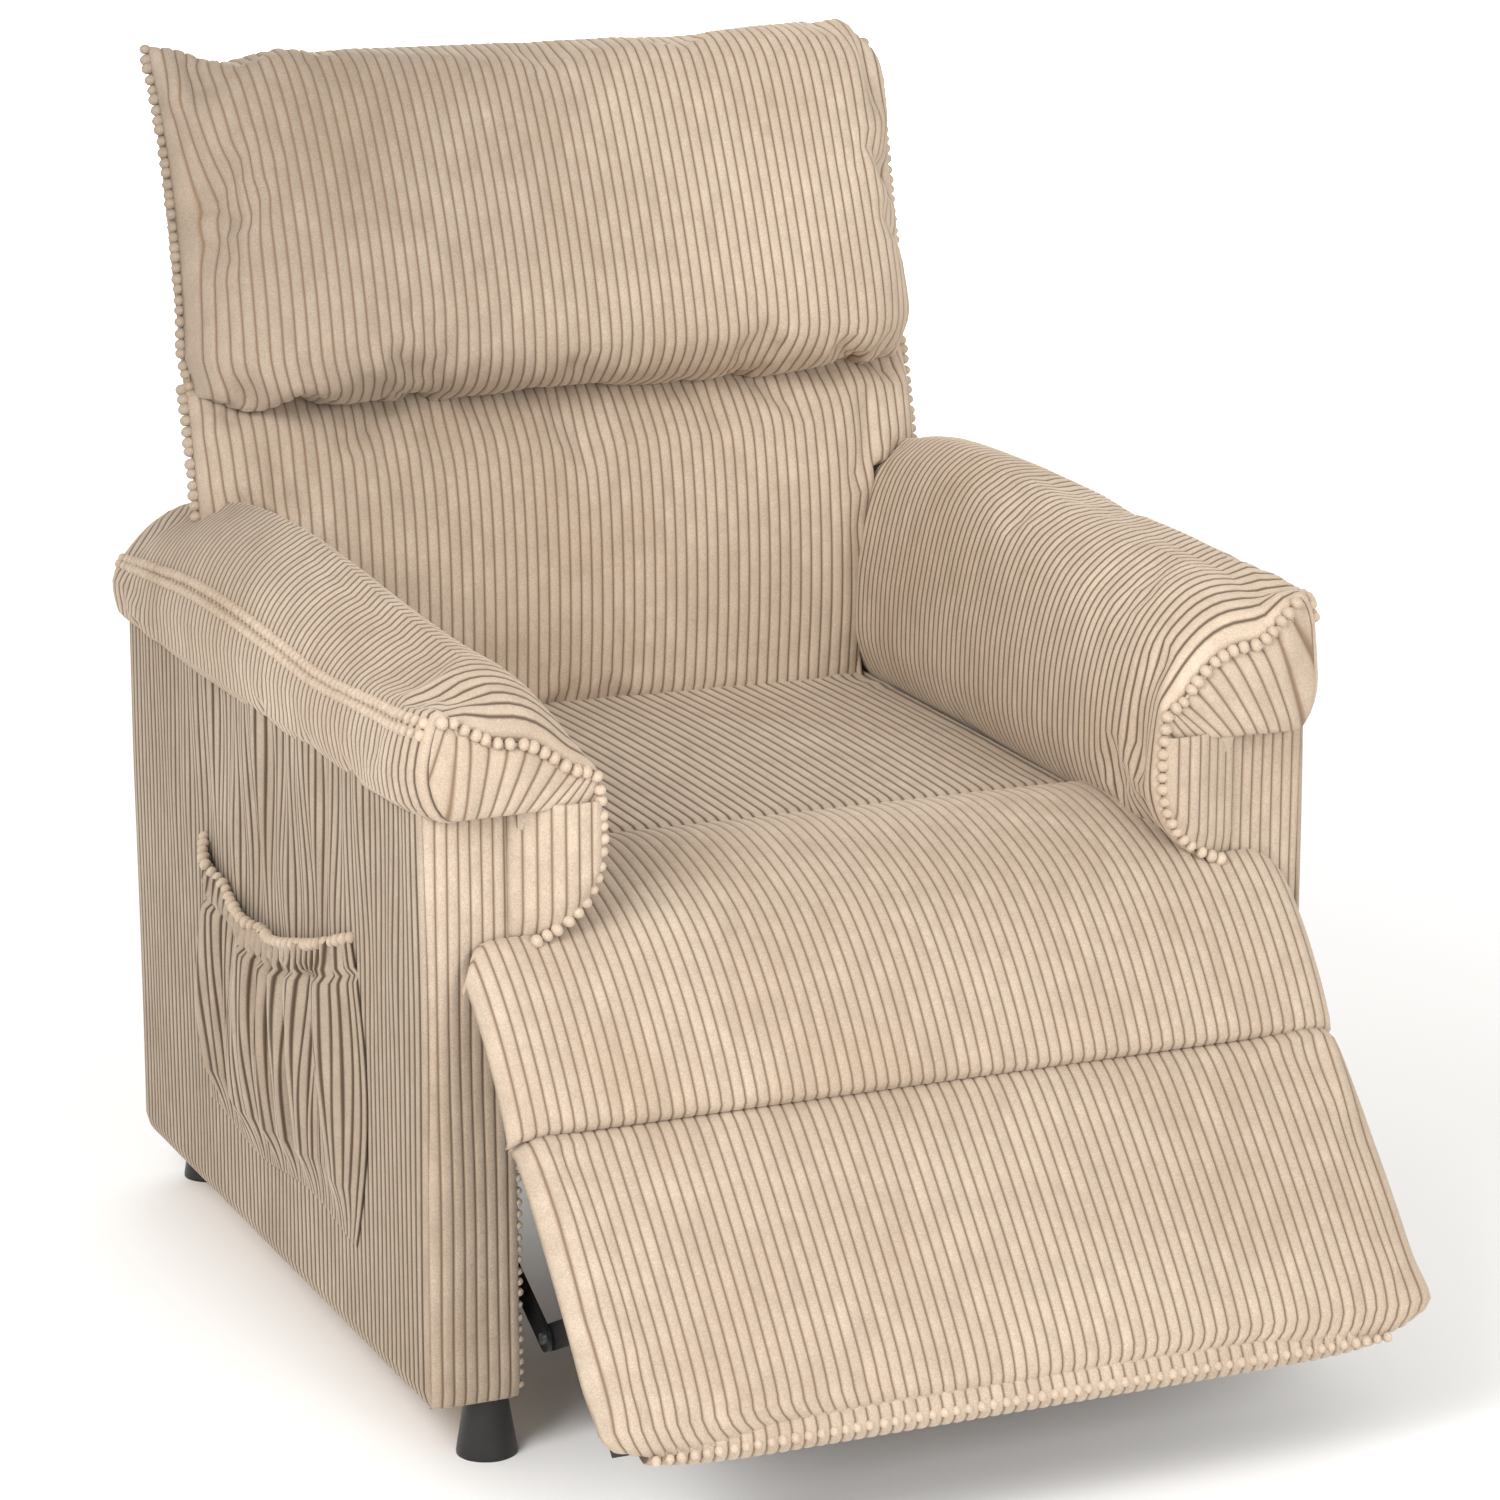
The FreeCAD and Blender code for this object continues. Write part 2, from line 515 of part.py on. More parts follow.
belts = [raw_box("back_belt_%d" % z, "#stile_apart", "#strap_thick", "#strap_wide",
                 0, rear_layer - s.strap_thick, z) for z in belt_rows]
group("back_webbing", belts, back)

panel = new_body("back_outer_panel")
panel_plan = sketch_on(panel, "XZ_Plane", "back_panel_outline")
low_half, high_half = s.back_low_wide / 2 - 3, s.back_frame_wide / 2
polyline(panel_plan, [(-low_half, 36), (low_half, 36), (low_half, wing_low), (high_half, wing_low),
                      (high_half, s.back_up - 4), (-high_half, s.back_up - 4), (-high_half, wing_low),
                      (-low_half, wing_low)])
pad(panel, panel_plan, "#back_skin_thick")
keep(panel, "back_outer_panel", shifted(back, 0, skin_layer + s.back_skin_thick, 0))

stile_face = stile_x + s.stile_wide / 2
bracket_outline = [(rear_layer + 2, -10), (pivot_y + 14, -10), (pivot_y + 14, 30), (skin_layer - 1, 34),
                   (skin_layer - 1, 110), (rear_layer + 2, 110)]
for side, sign in sides:
    plate = new_body(side + "_back_bracket")
    sketch = sketch_on(plate, "YZ_Plane", side + "_bracket_outline")
    polyline(sketch, bracket_outline)
    hole(sketch, pivot_y, pivot_z, "#pivot_dia + 2 * #pivot_play")
    pad(plate, sketch, "#hinge_plate_thick")
    x = stile_face if sign > 0 else -stile_face - s.hinge_plate_thick
    keep(plate, side + "_back_bracket", shifted(back, x, 0, 0))

    cheek = new_body(side + "_hinge_plate")
    sketch = sketch_on(cheek, "YZ_Plane", side + "_cheek_outline")
    pivot = (s.pivot_back, s.pivot_up)
    bolted = [(s.frame_rear - 9, frame_top), (s.frame_rear - 70, frame_top - 4),
              (s.frame_rear - 70, frame_low + 4), (s.frame_rear, frame_low + 4)]
    ear = [(pivot[0] + 16, pivot[1] - 16), (pivot[0] + 16, pivot[1] + 16), (pivot[0] - 16, pivot[1] + 16)]
    polyline(sketch, bolted + ear)
    hole(sketch, pivot[0], pivot[1], "#pivot_dia + 0.1")
    pad(cheek, sketch, "#hinge_plate_thick")
    x = frame_half if sign > 0 else -frame_half - s.hinge_plate_thick
    keep(cheek, side + "_hinge_plate", place(x, 0, 0))

pins = []
for side, sign in sides:
    shank = rod(side + "_back_shank", "#pivot_dia / 2", "2 * #hinge_plate_thick + #hinge_plate_gap",
                sign * (stile_face + s.hinge_plate_thick + s.hinge_plate_gap / 2), s.pivot_back, s.pivot_up)
    cap = rod(side + "_back_cap", "#head_dia / 2", "#head_thick",
              sign * (frame_half + s.hinge_plate_thick + s.head_thick / 2), s.pivot_back, s.pivot_up)
    pins.append(joined(side + "_back_pin", [shank, cap]))
group("back_pivot_pins", pins)

behind = front_layer - s.soft_gap
lumbar_low = [(behind, s.lumbar_low), (-s.lumbar_thin, s.lumbar_low),
              (-s.lumbar_thick + 12, s.lumbar_low + 32), (-s.lumbar_thick, s.lumbar_low + 92),
              (-s.lumbar_thick, s.wing_up), (behind, s.wing_up)]
lumbar_high = [(behind, s.wing_up), (-s.lumbar_thick, s.wing_up), (-s.lumbar_thick, s.crease_up - 30),
               (-s.lumbar_thick + 17, s.crease_up - 1), (behind, s.crease_up - 1)]
lumbar = prism(lumbar_low, s.back_low_wide).fuse(prism(lumbar_high, s.back_wide))
soft("lumbar_cushion", lumbar.removeSplitter(), back)
deep = s.head_thick_pad
pillow = [(behind, s.crease_up), (-s.lumbar_thick - 1, s.crease_up), (-s.lumbar_thick - 4, s.crease_up - 10),
          (-deep + 10, s.crease_up - 12), (-deep, s.crease_up + 10), (-deep, s.back_up - 78),
          (-deep + 20, s.back_up - 28), (-deep + 55, s.back_up - 3), (behind, s.back_up)]
soft("head_pillow", prism(pillow, s.head_wide), back)

# ---------------------------------------------------------------- checks and export
doc.recompute()
for obj in doc.Objects:
    if {"Invalid", "Error"} & set(obj.State):
        raise RuntimeError("%s failed: %s" % (obj.Name, obj.State))
for obj in nodes:
    shape = obj.Shape
    if shape.isNull() or not shape.isValid() or shape.Volume <= 0 or not shape.Solids:
        raise RuntimeError("%s has no valid solid" % obj.Label)
for obj in nodes:
    obj.Shape.exportStep("parts/%s.step" % obj.Label)
print(len(nodes), "sub-parts written; drive link pivot at", [round(n, 2) for n in fixed_pivot],
      "bracket pivot at", [round(n, 2) for n in bracket_pivot])
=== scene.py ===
import json
import math
import random

import bmesh
import bpy
import mathutils
import numpy as np
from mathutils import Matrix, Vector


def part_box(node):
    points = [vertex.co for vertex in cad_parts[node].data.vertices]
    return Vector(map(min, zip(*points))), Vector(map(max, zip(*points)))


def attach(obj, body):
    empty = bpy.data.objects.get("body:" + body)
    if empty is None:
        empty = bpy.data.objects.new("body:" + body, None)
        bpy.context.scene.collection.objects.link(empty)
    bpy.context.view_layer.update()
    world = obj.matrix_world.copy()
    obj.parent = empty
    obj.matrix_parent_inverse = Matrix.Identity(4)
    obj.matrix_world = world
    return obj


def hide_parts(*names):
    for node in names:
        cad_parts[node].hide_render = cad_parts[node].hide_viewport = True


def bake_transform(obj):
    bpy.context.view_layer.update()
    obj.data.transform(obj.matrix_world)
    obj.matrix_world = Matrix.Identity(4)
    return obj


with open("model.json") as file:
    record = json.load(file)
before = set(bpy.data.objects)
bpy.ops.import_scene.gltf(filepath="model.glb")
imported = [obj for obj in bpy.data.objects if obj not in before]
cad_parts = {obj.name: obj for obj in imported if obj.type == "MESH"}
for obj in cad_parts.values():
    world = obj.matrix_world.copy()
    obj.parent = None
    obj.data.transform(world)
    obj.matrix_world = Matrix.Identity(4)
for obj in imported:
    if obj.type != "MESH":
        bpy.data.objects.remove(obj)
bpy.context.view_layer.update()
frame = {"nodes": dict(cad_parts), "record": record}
print("frame loaded")

# Metres throughout. "back" is a distance behind the plane of the arms' front faces.
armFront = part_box("left_arm_front_panel")[0].y
armLow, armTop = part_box("left_side_cover")[0].z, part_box("left_side_cover")[1].z
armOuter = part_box("right_side_cover")[1].x
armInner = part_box("right_side_cover")[0].x
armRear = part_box("right_side_cover")[1].y - armFront
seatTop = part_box("seat_cushion")[1].z
sides = (("left", -1), ("right", 1))

lean = dict(foot=(0.6433, 0.395), angle=math.radians(14))      # the back's own frame
seam = dict(fore=0.124, up=0.309, slope=math.radians(46))      # the seam between calf pad and footrest
corduroy = dict(pitch=0.0105, row=0.010, fade=0.006, fadeRows=(0.0015, 0.004))
# the columns across one rib, and how far each stands out of the groove
fullRibs = dict(rise=0.0018, stops=(0.0, 0.105, 0.27, 0.5, 0.73, 0.895),
                lift=(0.0, 0.68, 0.94, 1.0, 0.94, 0.68))
lowRibs = dict(rise=0.0011, stops=(0.0, 0.14, 0.29, 0.5, 0.71, 0.86),
               lift=(0.0, 0.60, 0.92, 1.0, 0.92, 0.60))
fullTurn = 6.28


def chairPoint(x, back, up):
    return np.stack(np.broadcast_arrays(x, armFront + back, up), -1)


def backPoint(x, behind, up):      # in the leaning frame of the back
    foot, footUp = lean["foot"]
    c, s = math.cos(lean["angle"]), math.sin(lean["angle"])
    return chairPoint(x, foot + behind * c + up * s, footUp - behind * s + up * c)


def restPoint(x, depth, down):     # in the sloping frame of the footrest
    c, s = math.cos(seam["slope"]), math.sin(seam["slope"])
    return chairPoint(x, -seam["fore"] - down * c + depth * s, seam["up"] - down * s - depth * c)


def smoothStep(low, high, x):
    f = np.clip((x - low) / (high - low), 0, 1)
    return f * f * (3 - 2 * f)


def profile(points, count=400):
    # a smooth line through a few points, evenly spaced: gives a function of 0..1
    pts = np.array(points, float)
    padded = np.vstack([2 * pts[0] - pts[1], pts, 2 * pts[-1] - pts[-2]])
    steps = 30
    pieces = []
    for i in range(len(pts) - 1):
        a, b, c, d = padded[i:i + 4]
        f = np.linspace(0, 1, steps, endpoint=i == len(pts) - 2)[:, None]
        pieces.append(0.5 * (2 * b + (c - a) * f + (2 * a - 5 * b + 4 * c - d) * f ** 2
                             + (3 * b - a - 3 * c + d) * f ** 3))
    line = np.vstack(pieces)
    along = np.concatenate([[0], np.cumsum(np.linalg.norm(np.diff(line, axis=0), axis=1))])
    even = np.linspace(0, along[-1], count)
    table = np.stack([np.interp(even, along, line[:, k]) for k in range(line.shape[1])], -1)

    def at(f):
        place = np.clip(f, 0, 1) * (count - 1)
        return [np.interp(place, np.arange(count), table[:, k]) for k in range(table.shape[1])]
    return at, along[-1]


# ---- corduroy sheets -------------------------------------------------------------------
def unitGrid(name, across, along):
    bm = bmesh.new()
    bm.loops.layers.uv.new("cloth")
    bmesh.ops.create_grid(bm, x_segments=across, y_segments=along, size=0.5)
    mesh = bpy.data.meshes.new(name)
    bm.to_mesh(mesh)
    bm.free()
    flat = np.empty(len(mesh.vertices) * 3)
    mesh.vertices.foreach_get("co", flat)
    flat = flat.reshape(-1, 3)
    i = np.rint((flat[:, 0] - flat[:, 0].min()) / np.ptp(flat[:, 0]) * across).astype(int)
    j = np.rint((flat[:, 1] - flat[:, 1].min()) / np.ptp(flat[:, 1]) * along).astype(int)
    return mesh, i, j


def normalsOf(p):
    n = np.cross(np.gradient(p, axis=0), np.gradient(p, axis=1))
    return n / np.maximum(np.linalg.norm(n, axis=-1, keepdims=True), 1e-9)


def laidMesh(name, p, u, v, reverse=False):
    mesh, i, j = unitGrid(name, p.shape[0] - 1, p.shape[1] - 1)
    mesh.vertices.foreach_set("co", p[i, j].ravel())
    corner = np.empty(len(mesh.loops), int)
    mesh.loops.foreach_get("vertex_index", corner)
    uv = np.stack([u[i], v[j]], -1)[corner]
    mesh.uv_layers["cloth"].data.foreach_set("uv", uv.ravel())
    if reverse:
        mesh.flip_normals()
    return mesh


def joinMeshes(name, meshes, fillEnds=False):
    weld, sliver = 1e-5, 1e-6
    bm = bmesh.new()
    for mesh in meshes:
        bm.from_mesh(mesh)
        bpy.data.meshes.remove(mesh)
    bmesh.ops.remove_doubles(bm, verts=bm.verts, dist=weld)
    if fillEnds:
        ends = bmesh.ops.holes_fill(bm, edges=[e for e in bm.edges if e.is_boundary], sides=0)
        ends = bmesh.ops.triangulate(bm, faces=ends["faces"])
        cloth = bm.loops.layers.uv["cloth"]
        for face in ends["faces"]:      # the plain end is pile all over
            for corner in face.loops:
                corner[cloth].uv = (corduroy["pitch"] / 2, 0)
    bmesh.ops.dissolve_degenerate(bm, edges=bm.edges, dist=sliver)
    joined = bpy.data.meshes.new(name)
    bm.to_mesh(joined)
    bm.free()
    joined.shade_smooth()
    piece = bpy.data.objects.new(name, joined)
    bpy.context.scene.collection.objects.link(piece)
    return piece


def cubicWeights(places, cells):
    # Catmull-Rom weights that read a coarse row of cells + 1 values at places from 0 to 1
    x = np.clip(places, 0, 1) * cells
    cell = np.minimum(x.astype(int), cells - 1)
    f = x - cell
    w = np.zeros((len(places), cells + 1))
    shares = (-f + 2 * f ** 2 - f ** 3, 2 - 5 * f ** 2 + 3 * f ** 3,
              f + 4 * f ** 2 - 3 * f ** 3, -f ** 2 + f ** 3)
    for step, share in zip((-1, 0, 1, 2), shares):
        np.add.at(w, (np.arange(len(places)), np.clip(cell + step, 0, cells)), share / 2)
    return w


def stuffed(shape, width, length, pressure, slack, cap):
    # the cover is sewn down round its edge, blown up as cloth, and its moves are returned
    cell, steps, away = 0.017, 20, 0.05
    across, along = max(8, round(width / cell)), max(8, round(length / cell))
    s, t = np.linspace(0, 1, across + 1), np.linspace(0, 1, along + 1)
    rest = shape(s[:, None], t[None, :])
    inward = normalsOf(rest)
    inward[[0, -1]] = 0
    inward[:, [0, -1]] = 0
    front, i, j = unitGrid("cover", across, along)
    front.vertices.foreach_set("co", rest[i, j].ravel())
    rear, i, j = unitGrid("liner", across, along)
    rear.vertices.foreach_set("co", (rest - inward * away)[i, j].ravel())
    rear.flip_normals()
    bm = bmesh.new()
    bm.from_mesh(front)
    bm.from_mesh(rear)
    bm.to_mesh(front)
    bm.free()
    soft = bpy.data.objects.new("cover", front)
    bpy.context.scene.collection.objects.link(soft)
    count = len(i)
    edge = (i == 0) | (i == across) | (j == 0) | (j == along)
    held = [k for k in range(count) if edge[k]] + list(range(count, 2 * count))
    soft.vertex_groups.new(name="held").add(held, 1.0, "REPLACE")
    cloth = soft.modifiers.new("cloth", "CLOTH")
    cloth.settings.quality = 6
    cloth.settings.mass = 0.25
    cloth.settings.tension_stiffness = 20
    cloth.settings.bending_stiffness = 0.35
    cloth.settings.air_damping = 4
    cloth.settings.shrink_min = -slack
    cloth.settings.use_pressure = True
    cloth.settings.uniform_pressure_force = pressure
    cloth.settings.vertex_group_mass = "held"
    cloth.settings.effector_weights.gravity = 0
    cloth.collision_settings.use_collision = False
    scene = bpy.context.scene
    for step in range(1, steps + 1):
        scene.frame_set(step)
    blown = soft.evaluated_get(bpy.context.evaluated_depsgraph_get()).to_mesh()
    flat = np.empty(len(blown.vertices) * 3)
    blown.vertices.foreach_get("co", flat)
    moved = np.zeros_like(rest)
    moved[i, j] = flat.reshape(-1, 3)[:count] - rest[i, j]
    bpy.data.objects.remove(soft)
    scene.frame_set(1)
    size = np.linalg.norm(moved, axis=-1, keepdims=True)
    moved *= np.minimum(1, cap / np.maximum(size, 1e-9))
    return moved


surfaces = {}      # the smooth surface of each finished cover, by name


def onSurface(name, places, out=0.0):      # points that lie on a finished cover
    s, t, p, n = surfaces[name]
    laid = p + n * out
    i = np.interp([f for f, g in places], s, np.arange(len(s)))
    j = np.interp([g for f, g in places], t, np.arange(len(t)))
    i0, j0 = np.minimum(i.astype(int), len(s) - 2), np.minimum(j.astype(int), len(t) - 2)
    u, v = (i - i0)[:, None], (j - j0)[:, None]
    along = laid[i0, j0] * (1 - v) + laid[i0, j0 + 1] * v
    beyond = laid[i0 + 1, j0] * (1 - v) + laid[i0 + 1, j0 + 1] * v
    return [tuple(point) for point in along * (1 - u) + beyond * u]


def cover(name, width, length, shape, facing, thick=0.02, moved=None, looped=False, relief=None,
          softEnds=(True, True), row=None, fillEnds=False, ribs=fullRibs):
    # one sewn panel: wales run along t, and shape(s, t) gives its smooth surface
    count = max(2, round(width / corduroy["pitch"]))
    s = np.array([(k + stop) / count for k in range(count) for stop in ribs["stops"]] + [1.0])
    lift = np.array(list(ribs["lift"]) * count + [0.0])
    rows = max(3, round(length / (row or corduroy["row"])))
    t = np.linspace(0, 1, rows + 1)
    ends = np.array(corduroy["fadeRows"]) / length
    extra = ([*ends] if softEnds[0] else []) + ([*(1 - ends)] if softEnds[1] else [])
    t = np.unique(np.concatenate([t, extra]))
    p = shape(s[:, None], t[None, :])
    if moved is not None:
        ws, wt = cubicWeights(s, moved.shape[0] - 1), cubicWeights(t, moved.shape[1] - 1)
        p = p + np.einsum("ai,bj,ijk->abk", ws, wt, moved)
    n = normalsOf(p)
    mid = n[n.shape[0] // 2, n.shape[1] // 2]
    outward = 1 if np.dot(mid, facing) > 0 else -1
    n = n * outward
    if relief is not None:
        p = p + n * relief(s[:, None], t[None, :], p)[..., None]
        n = normalsOf(p) * outward
    surfaces[name] = (s, t, p, n)
    fade = np.ones_like(t)
    for soft, away in zip(softEnds, (t, 1 - t)):
        if soft:
            fade *= np.sqrt(1 - (1 - np.clip(away * length / corduroy["fade"], 0, 1)) ** 2)
    outer = p + n * (ribs["rise"] * lift[:, None] * fade[None, :])[..., None]
    u, v = s * count * corduroy["pitch"], t * length
    meshes = [laidMesh(name, outer, u, v, outward < 0)]
    if not looped:
        # the lining comes up to meet the cover along every edge
        taper = 0.8
        depth = np.full(p.shape[:2], thick)
        for axis in (0, 1):
            steps = np.diff(p, axis=axis, prepend=p.take([0], axis))
            run = np.cumsum(np.linalg.norm(steps, axis=-1), axis=axis)
            left = run.take([-1], axis) - run
            depth = np.minimum(depth, taper * np.minimum(run, left))
        meshes.append(laidMesh(name, p - n * depth[..., None], u, v, outward > 0))
    return joinMeshes(name, meshes, fillEnds=fillEnds)


def finished(piece, body, replaced=(), material=None):
    piece.data.materials.clear()
    piece.data.materials.append(material or cordCloth)
    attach(piece, body)
    if replaced:
        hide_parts(*replaced)
    return piece


def beads(name, points, body, radius, pitch, seed, squashed=0.86, lay=(0, 0, 0)):
    # the cut ends of the wales stand along a seam as a row of small round tufts
    line, total = profile(points, 600)
    count = max(2, round(total / pitch))
    uneven, near = 0.12, 0.004
    rand = random.Random(seed)
    bm = bmesh.new()
    bm.loops.layers.uv.new("cloth")
    for k in range(count + 1):
        f = min(max((k + rand.uniform(-uneven, uneven)) / count, 0), 1)
        place = np.array(line(f))
        ahead = np.array(line(min(f + near, 1)))
        before = np.array(line(max(f - near, 0)))
        direction = (ahead - before) / max(np.linalg.norm(ahead - before), 1e-9)
        made = bmesh.ops.create_icosphere(bm, subdivisions=2, radius=radius * rand.uniform(0.9, 1.08))
        for vert in made["verts"]:
            off = np.array(vert.co)
            off = off - direction * np.dot(off, direction) * (1 - squashed)
            vert.co = place + off + np.array(lay)
    mesh = bpy.data.meshes.new(name)
    bm.to_mesh(mesh)
    bm.free()
    mesh.shade_smooth()
    piece = bpy.data.objects.new(name, mesh)
    bpy.context.scene.collection.objects.link(piece)
    return finished(piece, body, material=tuftCloth)


# ---- materials -------------------------------------------------------------------------
def linear(hexColour):
    channels = [int(hexColour[k:k + 2], 16) / 255 for k in (1, 3, 5)]
    return [c / 12.92 if c <= 0.04045 else ((c + 0.055) / 1.055) ** 2.4 for c in channels] + [1.0]


def addNode(tree, kind, settings=None, **inputs):      # i0 is the first input, i1 the second
    node = tree.nodes.new("ShaderNode" + kind)
    for key, value in (settings or {}).items():
        setattr(node, key, value)
    for key, value in inputs.items():
        numbered = key[0] == "i" and key[1:].isdigit()
        socket = node.inputs[int(key[1:]) if numbered else key.replace("_", " ")]
        if isinstance(value, bpy.types.NodeSocket):
            tree.links.new(value, socket)
        else:
            socket.default_value = value
    return node


def newMaterial(name):
    material = bpy.data.materials.new(name)
    material.use_nodes = True
    material.node_tree.nodes.clear()
    return material, material.node_tree


def ramp(tree, value, stops):
    node = addNode(tree, "ValToRGB", i0=value)
    bar = node.color_ramp
    for element, (place, colour) in zip(bar.elements, (stops[0], stops[-1])):
        element.position, element.color = place, colour
    for place, colour in stops[1:-1]:
        bar.elements.new(place).color = colour
    return node


def grey(value):
    return (value, value, value, 1)


def worked(tree, operation, **inputs):
    return addNode(tree, "Math", {"operation": operation}, **inputs).outputs[0]


def multiplied(tree, colour, factor):
    settings = {"data_type": "RGBA", "blend_type": "MULTIPLY"}
    return addNode(tree, "Mix", settings, i0=1.0, i6=colour, i7=factor).outputs[2]


def shaded(tree, colour, roughness, height, strength, depth):
    # the shader of a matt surface with a fine relief
    bump = addNode(tree, "Bump", Strength=strength, Distance=depth, Height=height)
    shader = addNode(tree, "BsdfPrincipled", Base_Color=colour, Roughness=roughness, Normal=bump.outputs[0])
    addNode(tree, "OutputMaterial", i0=shader.outputs[0])
    return shader


def grooved(tree, colour, grooveShade, flankShade, streak=1.0, streaks=22.0):
    # each rib has its own faint streaks, and painted shade darkens the grooves between the ribs, reaching
    # up the ribs' sides by flankShade
    uv = addNode(tree, "UVMap", {"uv_map": "cloth"})
    split = addNode(tree, "SeparateXYZ", i0=uv.outputs[0])
    turns = worked(tree, "DIVIDE", i0=split.outputs[0], i1=corduroy["pitch"])
    part = worked(tree, "FRACT", i0=turns)
    off = worked(tree, "SUBTRACT", i0=part, i1=0.5)
    fromMiddle = worked(tree, "ABSOLUTE", i0=off)
    rib = worked(tree, "FLOOR", i0=turns)
    ribPlace = addNode(tree, "CombineXYZ", i0=rib)
    along = worked(tree, "MULTIPLY", i0=split.outputs[1], i1=streaks)
    tree.links.new(along, ribPlace.inputs[1])
    light = addNode(tree, "TexNoise", i0=ribPlace.outputs[0], Scale=streak, Detail=1.0)
    lightTone = addNode(tree, "MapRange", i0=light.outputs[0], i1=0.3, i2=0.7, i3=0.93, i4=1.07)
    ribbed = multiplied(tree, colour, lightTone.outputs[0])
    # painted shade: the groove shade colour is mixed in across each groove
    grooveShadeMask = ramp(tree, fromMiddle, [(0.0, grey(0)), (0.27 - flankShade, grey(0)), (0.39 - flankShade, grey(0.22)),
                                     (0.445 - flankShade, grey(0.75)), (0.5, grey(1))])
    darker = addNode(tree, "Mix", {"data_type": "RGBA"}, i0=grooveShadeMask.outputs[0], i6=ribbed, i7=linear(grooveShade))
    return darker.outputs[2]


def pileMaterial(name, withGrooves, tone=1.0, grooveShade="#7a6450", flankShade=0.0):
    # wide-wale corduroy, woven cotton-polyester with a cut and brushed pile: flat soft ribs
    # # mottled light and dark where the nap is crushed, painted shade in the grooves between them and a
    # pale bloom
    look = dict(pile="#b8a693", worn="#c1b09c", crushed="#b19e89", blotch=7, crush=70, tuft=800,
                roughness=0.93, sheen=0.35, sheenSpread=0.42, sheenTint="#f6e6d2", specular=0.2)
    # painted shade: within near of this place the colour falls to this tone, coming back to full by far
    dark = dict(place=(-0.32, 0.50, 1.0), near=0.10, far=0.62, tone=0.62)
    material, tree = newMaterial(name)
    place = addNode(tree, "TexCoord").outputs["Object"]
    broad = addNode(tree, "TexNoise", i0=place, Scale=look["blotch"], Detail=3.0, Roughness=0.55,
                    Distortion=0.4)
    crush = addNode(tree, "TexNoise", i0=place, Scale=look["crush"], Detail=4.0, Roughness=0.7,
                    Distortion=0.6)
    tuft = addNode(tree, "TexNoise", i0=place, Scale=look["tuft"], Detail=2.0, Roughness=0.8)
    nap = worked(tree, "MULTIPLY_ADD", i0=crush.outputs[0], i1=0.55, i2=broad.outputs[0])
    shade = ramp(tree, nap, [(0.56, linear(look["crushed"])), (0.77, linear(look["pile"])),
                             (0.98, linear(look["worn"]))])
    speck = addNode(tree, "MapRange", i0=tuft.outputs[0], i1=0.3, i2=0.7, i3=0.80, i4=1.16)
    colour = multiplied(tree, shade.outputs[0], speck.outputs[0])
    # painted shade: the colour darkens towards a point at the upper left of the back, and tone makes the
    # whole copy lighter or darker as painted light and shade
    away = addNode(tree, "VectorMath", {"operation": "DISTANCE"}, i0=place, i1=dark["place"])
    paintedLightAndShade = addNode(tree, "MapRange", {"interpolation_type": "SMOOTHSTEP"}, i0=away.outputs[1],
                      i1=dark["near"], i2=dark["far"], i3=dark["tone"] * tone, i4=tone)
    colour = multiplied(tree, colour, paintedLightAndShade.outputs[0])
    height = worked(tree, "MULTIPLY_ADD", i0=tuft.outputs[0], i1=0.6, i2=crush.outputs[0])
    if withGrooves:
        colour = grooved(tree, colour, grooveShade, flankShade)
    shader = shaded(tree, colour, look["roughness"], height, 0.35, 0.0008)
    shader.inputs["Sheen Weight"].default_value = look["sheen"]
    shader.inputs["Sheen Roughness"].default_value = look["sheenSpread"]
    shader.inputs["Sheen Tint"].default_value = linear(look["sheenTint"])
    shader.inputs["Specular IOR Level"].default_value = look["specular"]
    return material


def speckled(name, base, dark, roughness, scale, bumpDepth, metallic=0.0, spread=0.15):
    # shared by the hard pieces: two close tones and a fine unevenness of the surface
    material, tree = newMaterial(name)
    place = addNode(tree, "TexCoord").outputs["Object"]
    cloud = addNode(tree, "TexNoise", i0=place, Scale=scale, Detail=4.0, Roughness=0.6).outputs[0]
    tone = ramp(tree, cloud, [(0.35, linear(dark)), (0.65, linear(base))])
    gloss = addNode(tree, "MapRange", i0=cloud, i1=0.3, i2=0.7, i3=roughness - spread / 2,
                    i4=roughness + spread / 2)
    shader = shaded(tree, tone.outputs[0], gloss.outputs[0], cloud, 0.4, bumpDepth)
    shader.inputs["Metallic"].default_value = metallic
    return material


def boardMaterial(name, base, dark, ringScale, roughness=0.68):
    # planed softwood or birch plywood: long streaks of early and late wood, dull and unsealed
    material, tree = newMaterial(name)
    place = addNode(tree, "TexCoord").outputs["Object"]
    stretch = addNode(tree, "Mapping", i0=place, Scale=(0.12, 1.0, 1.0))
    grain = addNode(tree, "TexNoise", i0=stretch.outputs[0], Scale=ringScale, Detail=5.0, Roughness=0.6,
                    Distortion=1.2).outputs[0]
    tone = ramp(tree, grain, [(0.3, linear(dark)), (0.6, linear(base))])
    shaded(tree, tone.outputs[0], roughness, grain, 0.3, 0.0004)
    return material


def clothMaterial(name, base, dark, thread, roughness=0.9):
    # plain woven cloth: crossing threads, matt
    material, tree = newMaterial(name)
    place = addNode(tree, "TexCoord").outputs["Object"]
    warp, weft = (addNode(tree, "TexWave", {"bands_direction": direction}, i0=place,
                          Scale=1 / thread / fullTurn, Distortion=0.6).outputs[1] for direction in "XZ")
    weave = worked(tree, "MAXIMUM", i0=warp, i1=weft)
    tone = ramp(tree, weave, [(0.2, linear(dark)), (0.9, linear(base))])
    shaded(tree, tone.outputs[0], roughness, weave, 0.5, 0.0004)
    return material
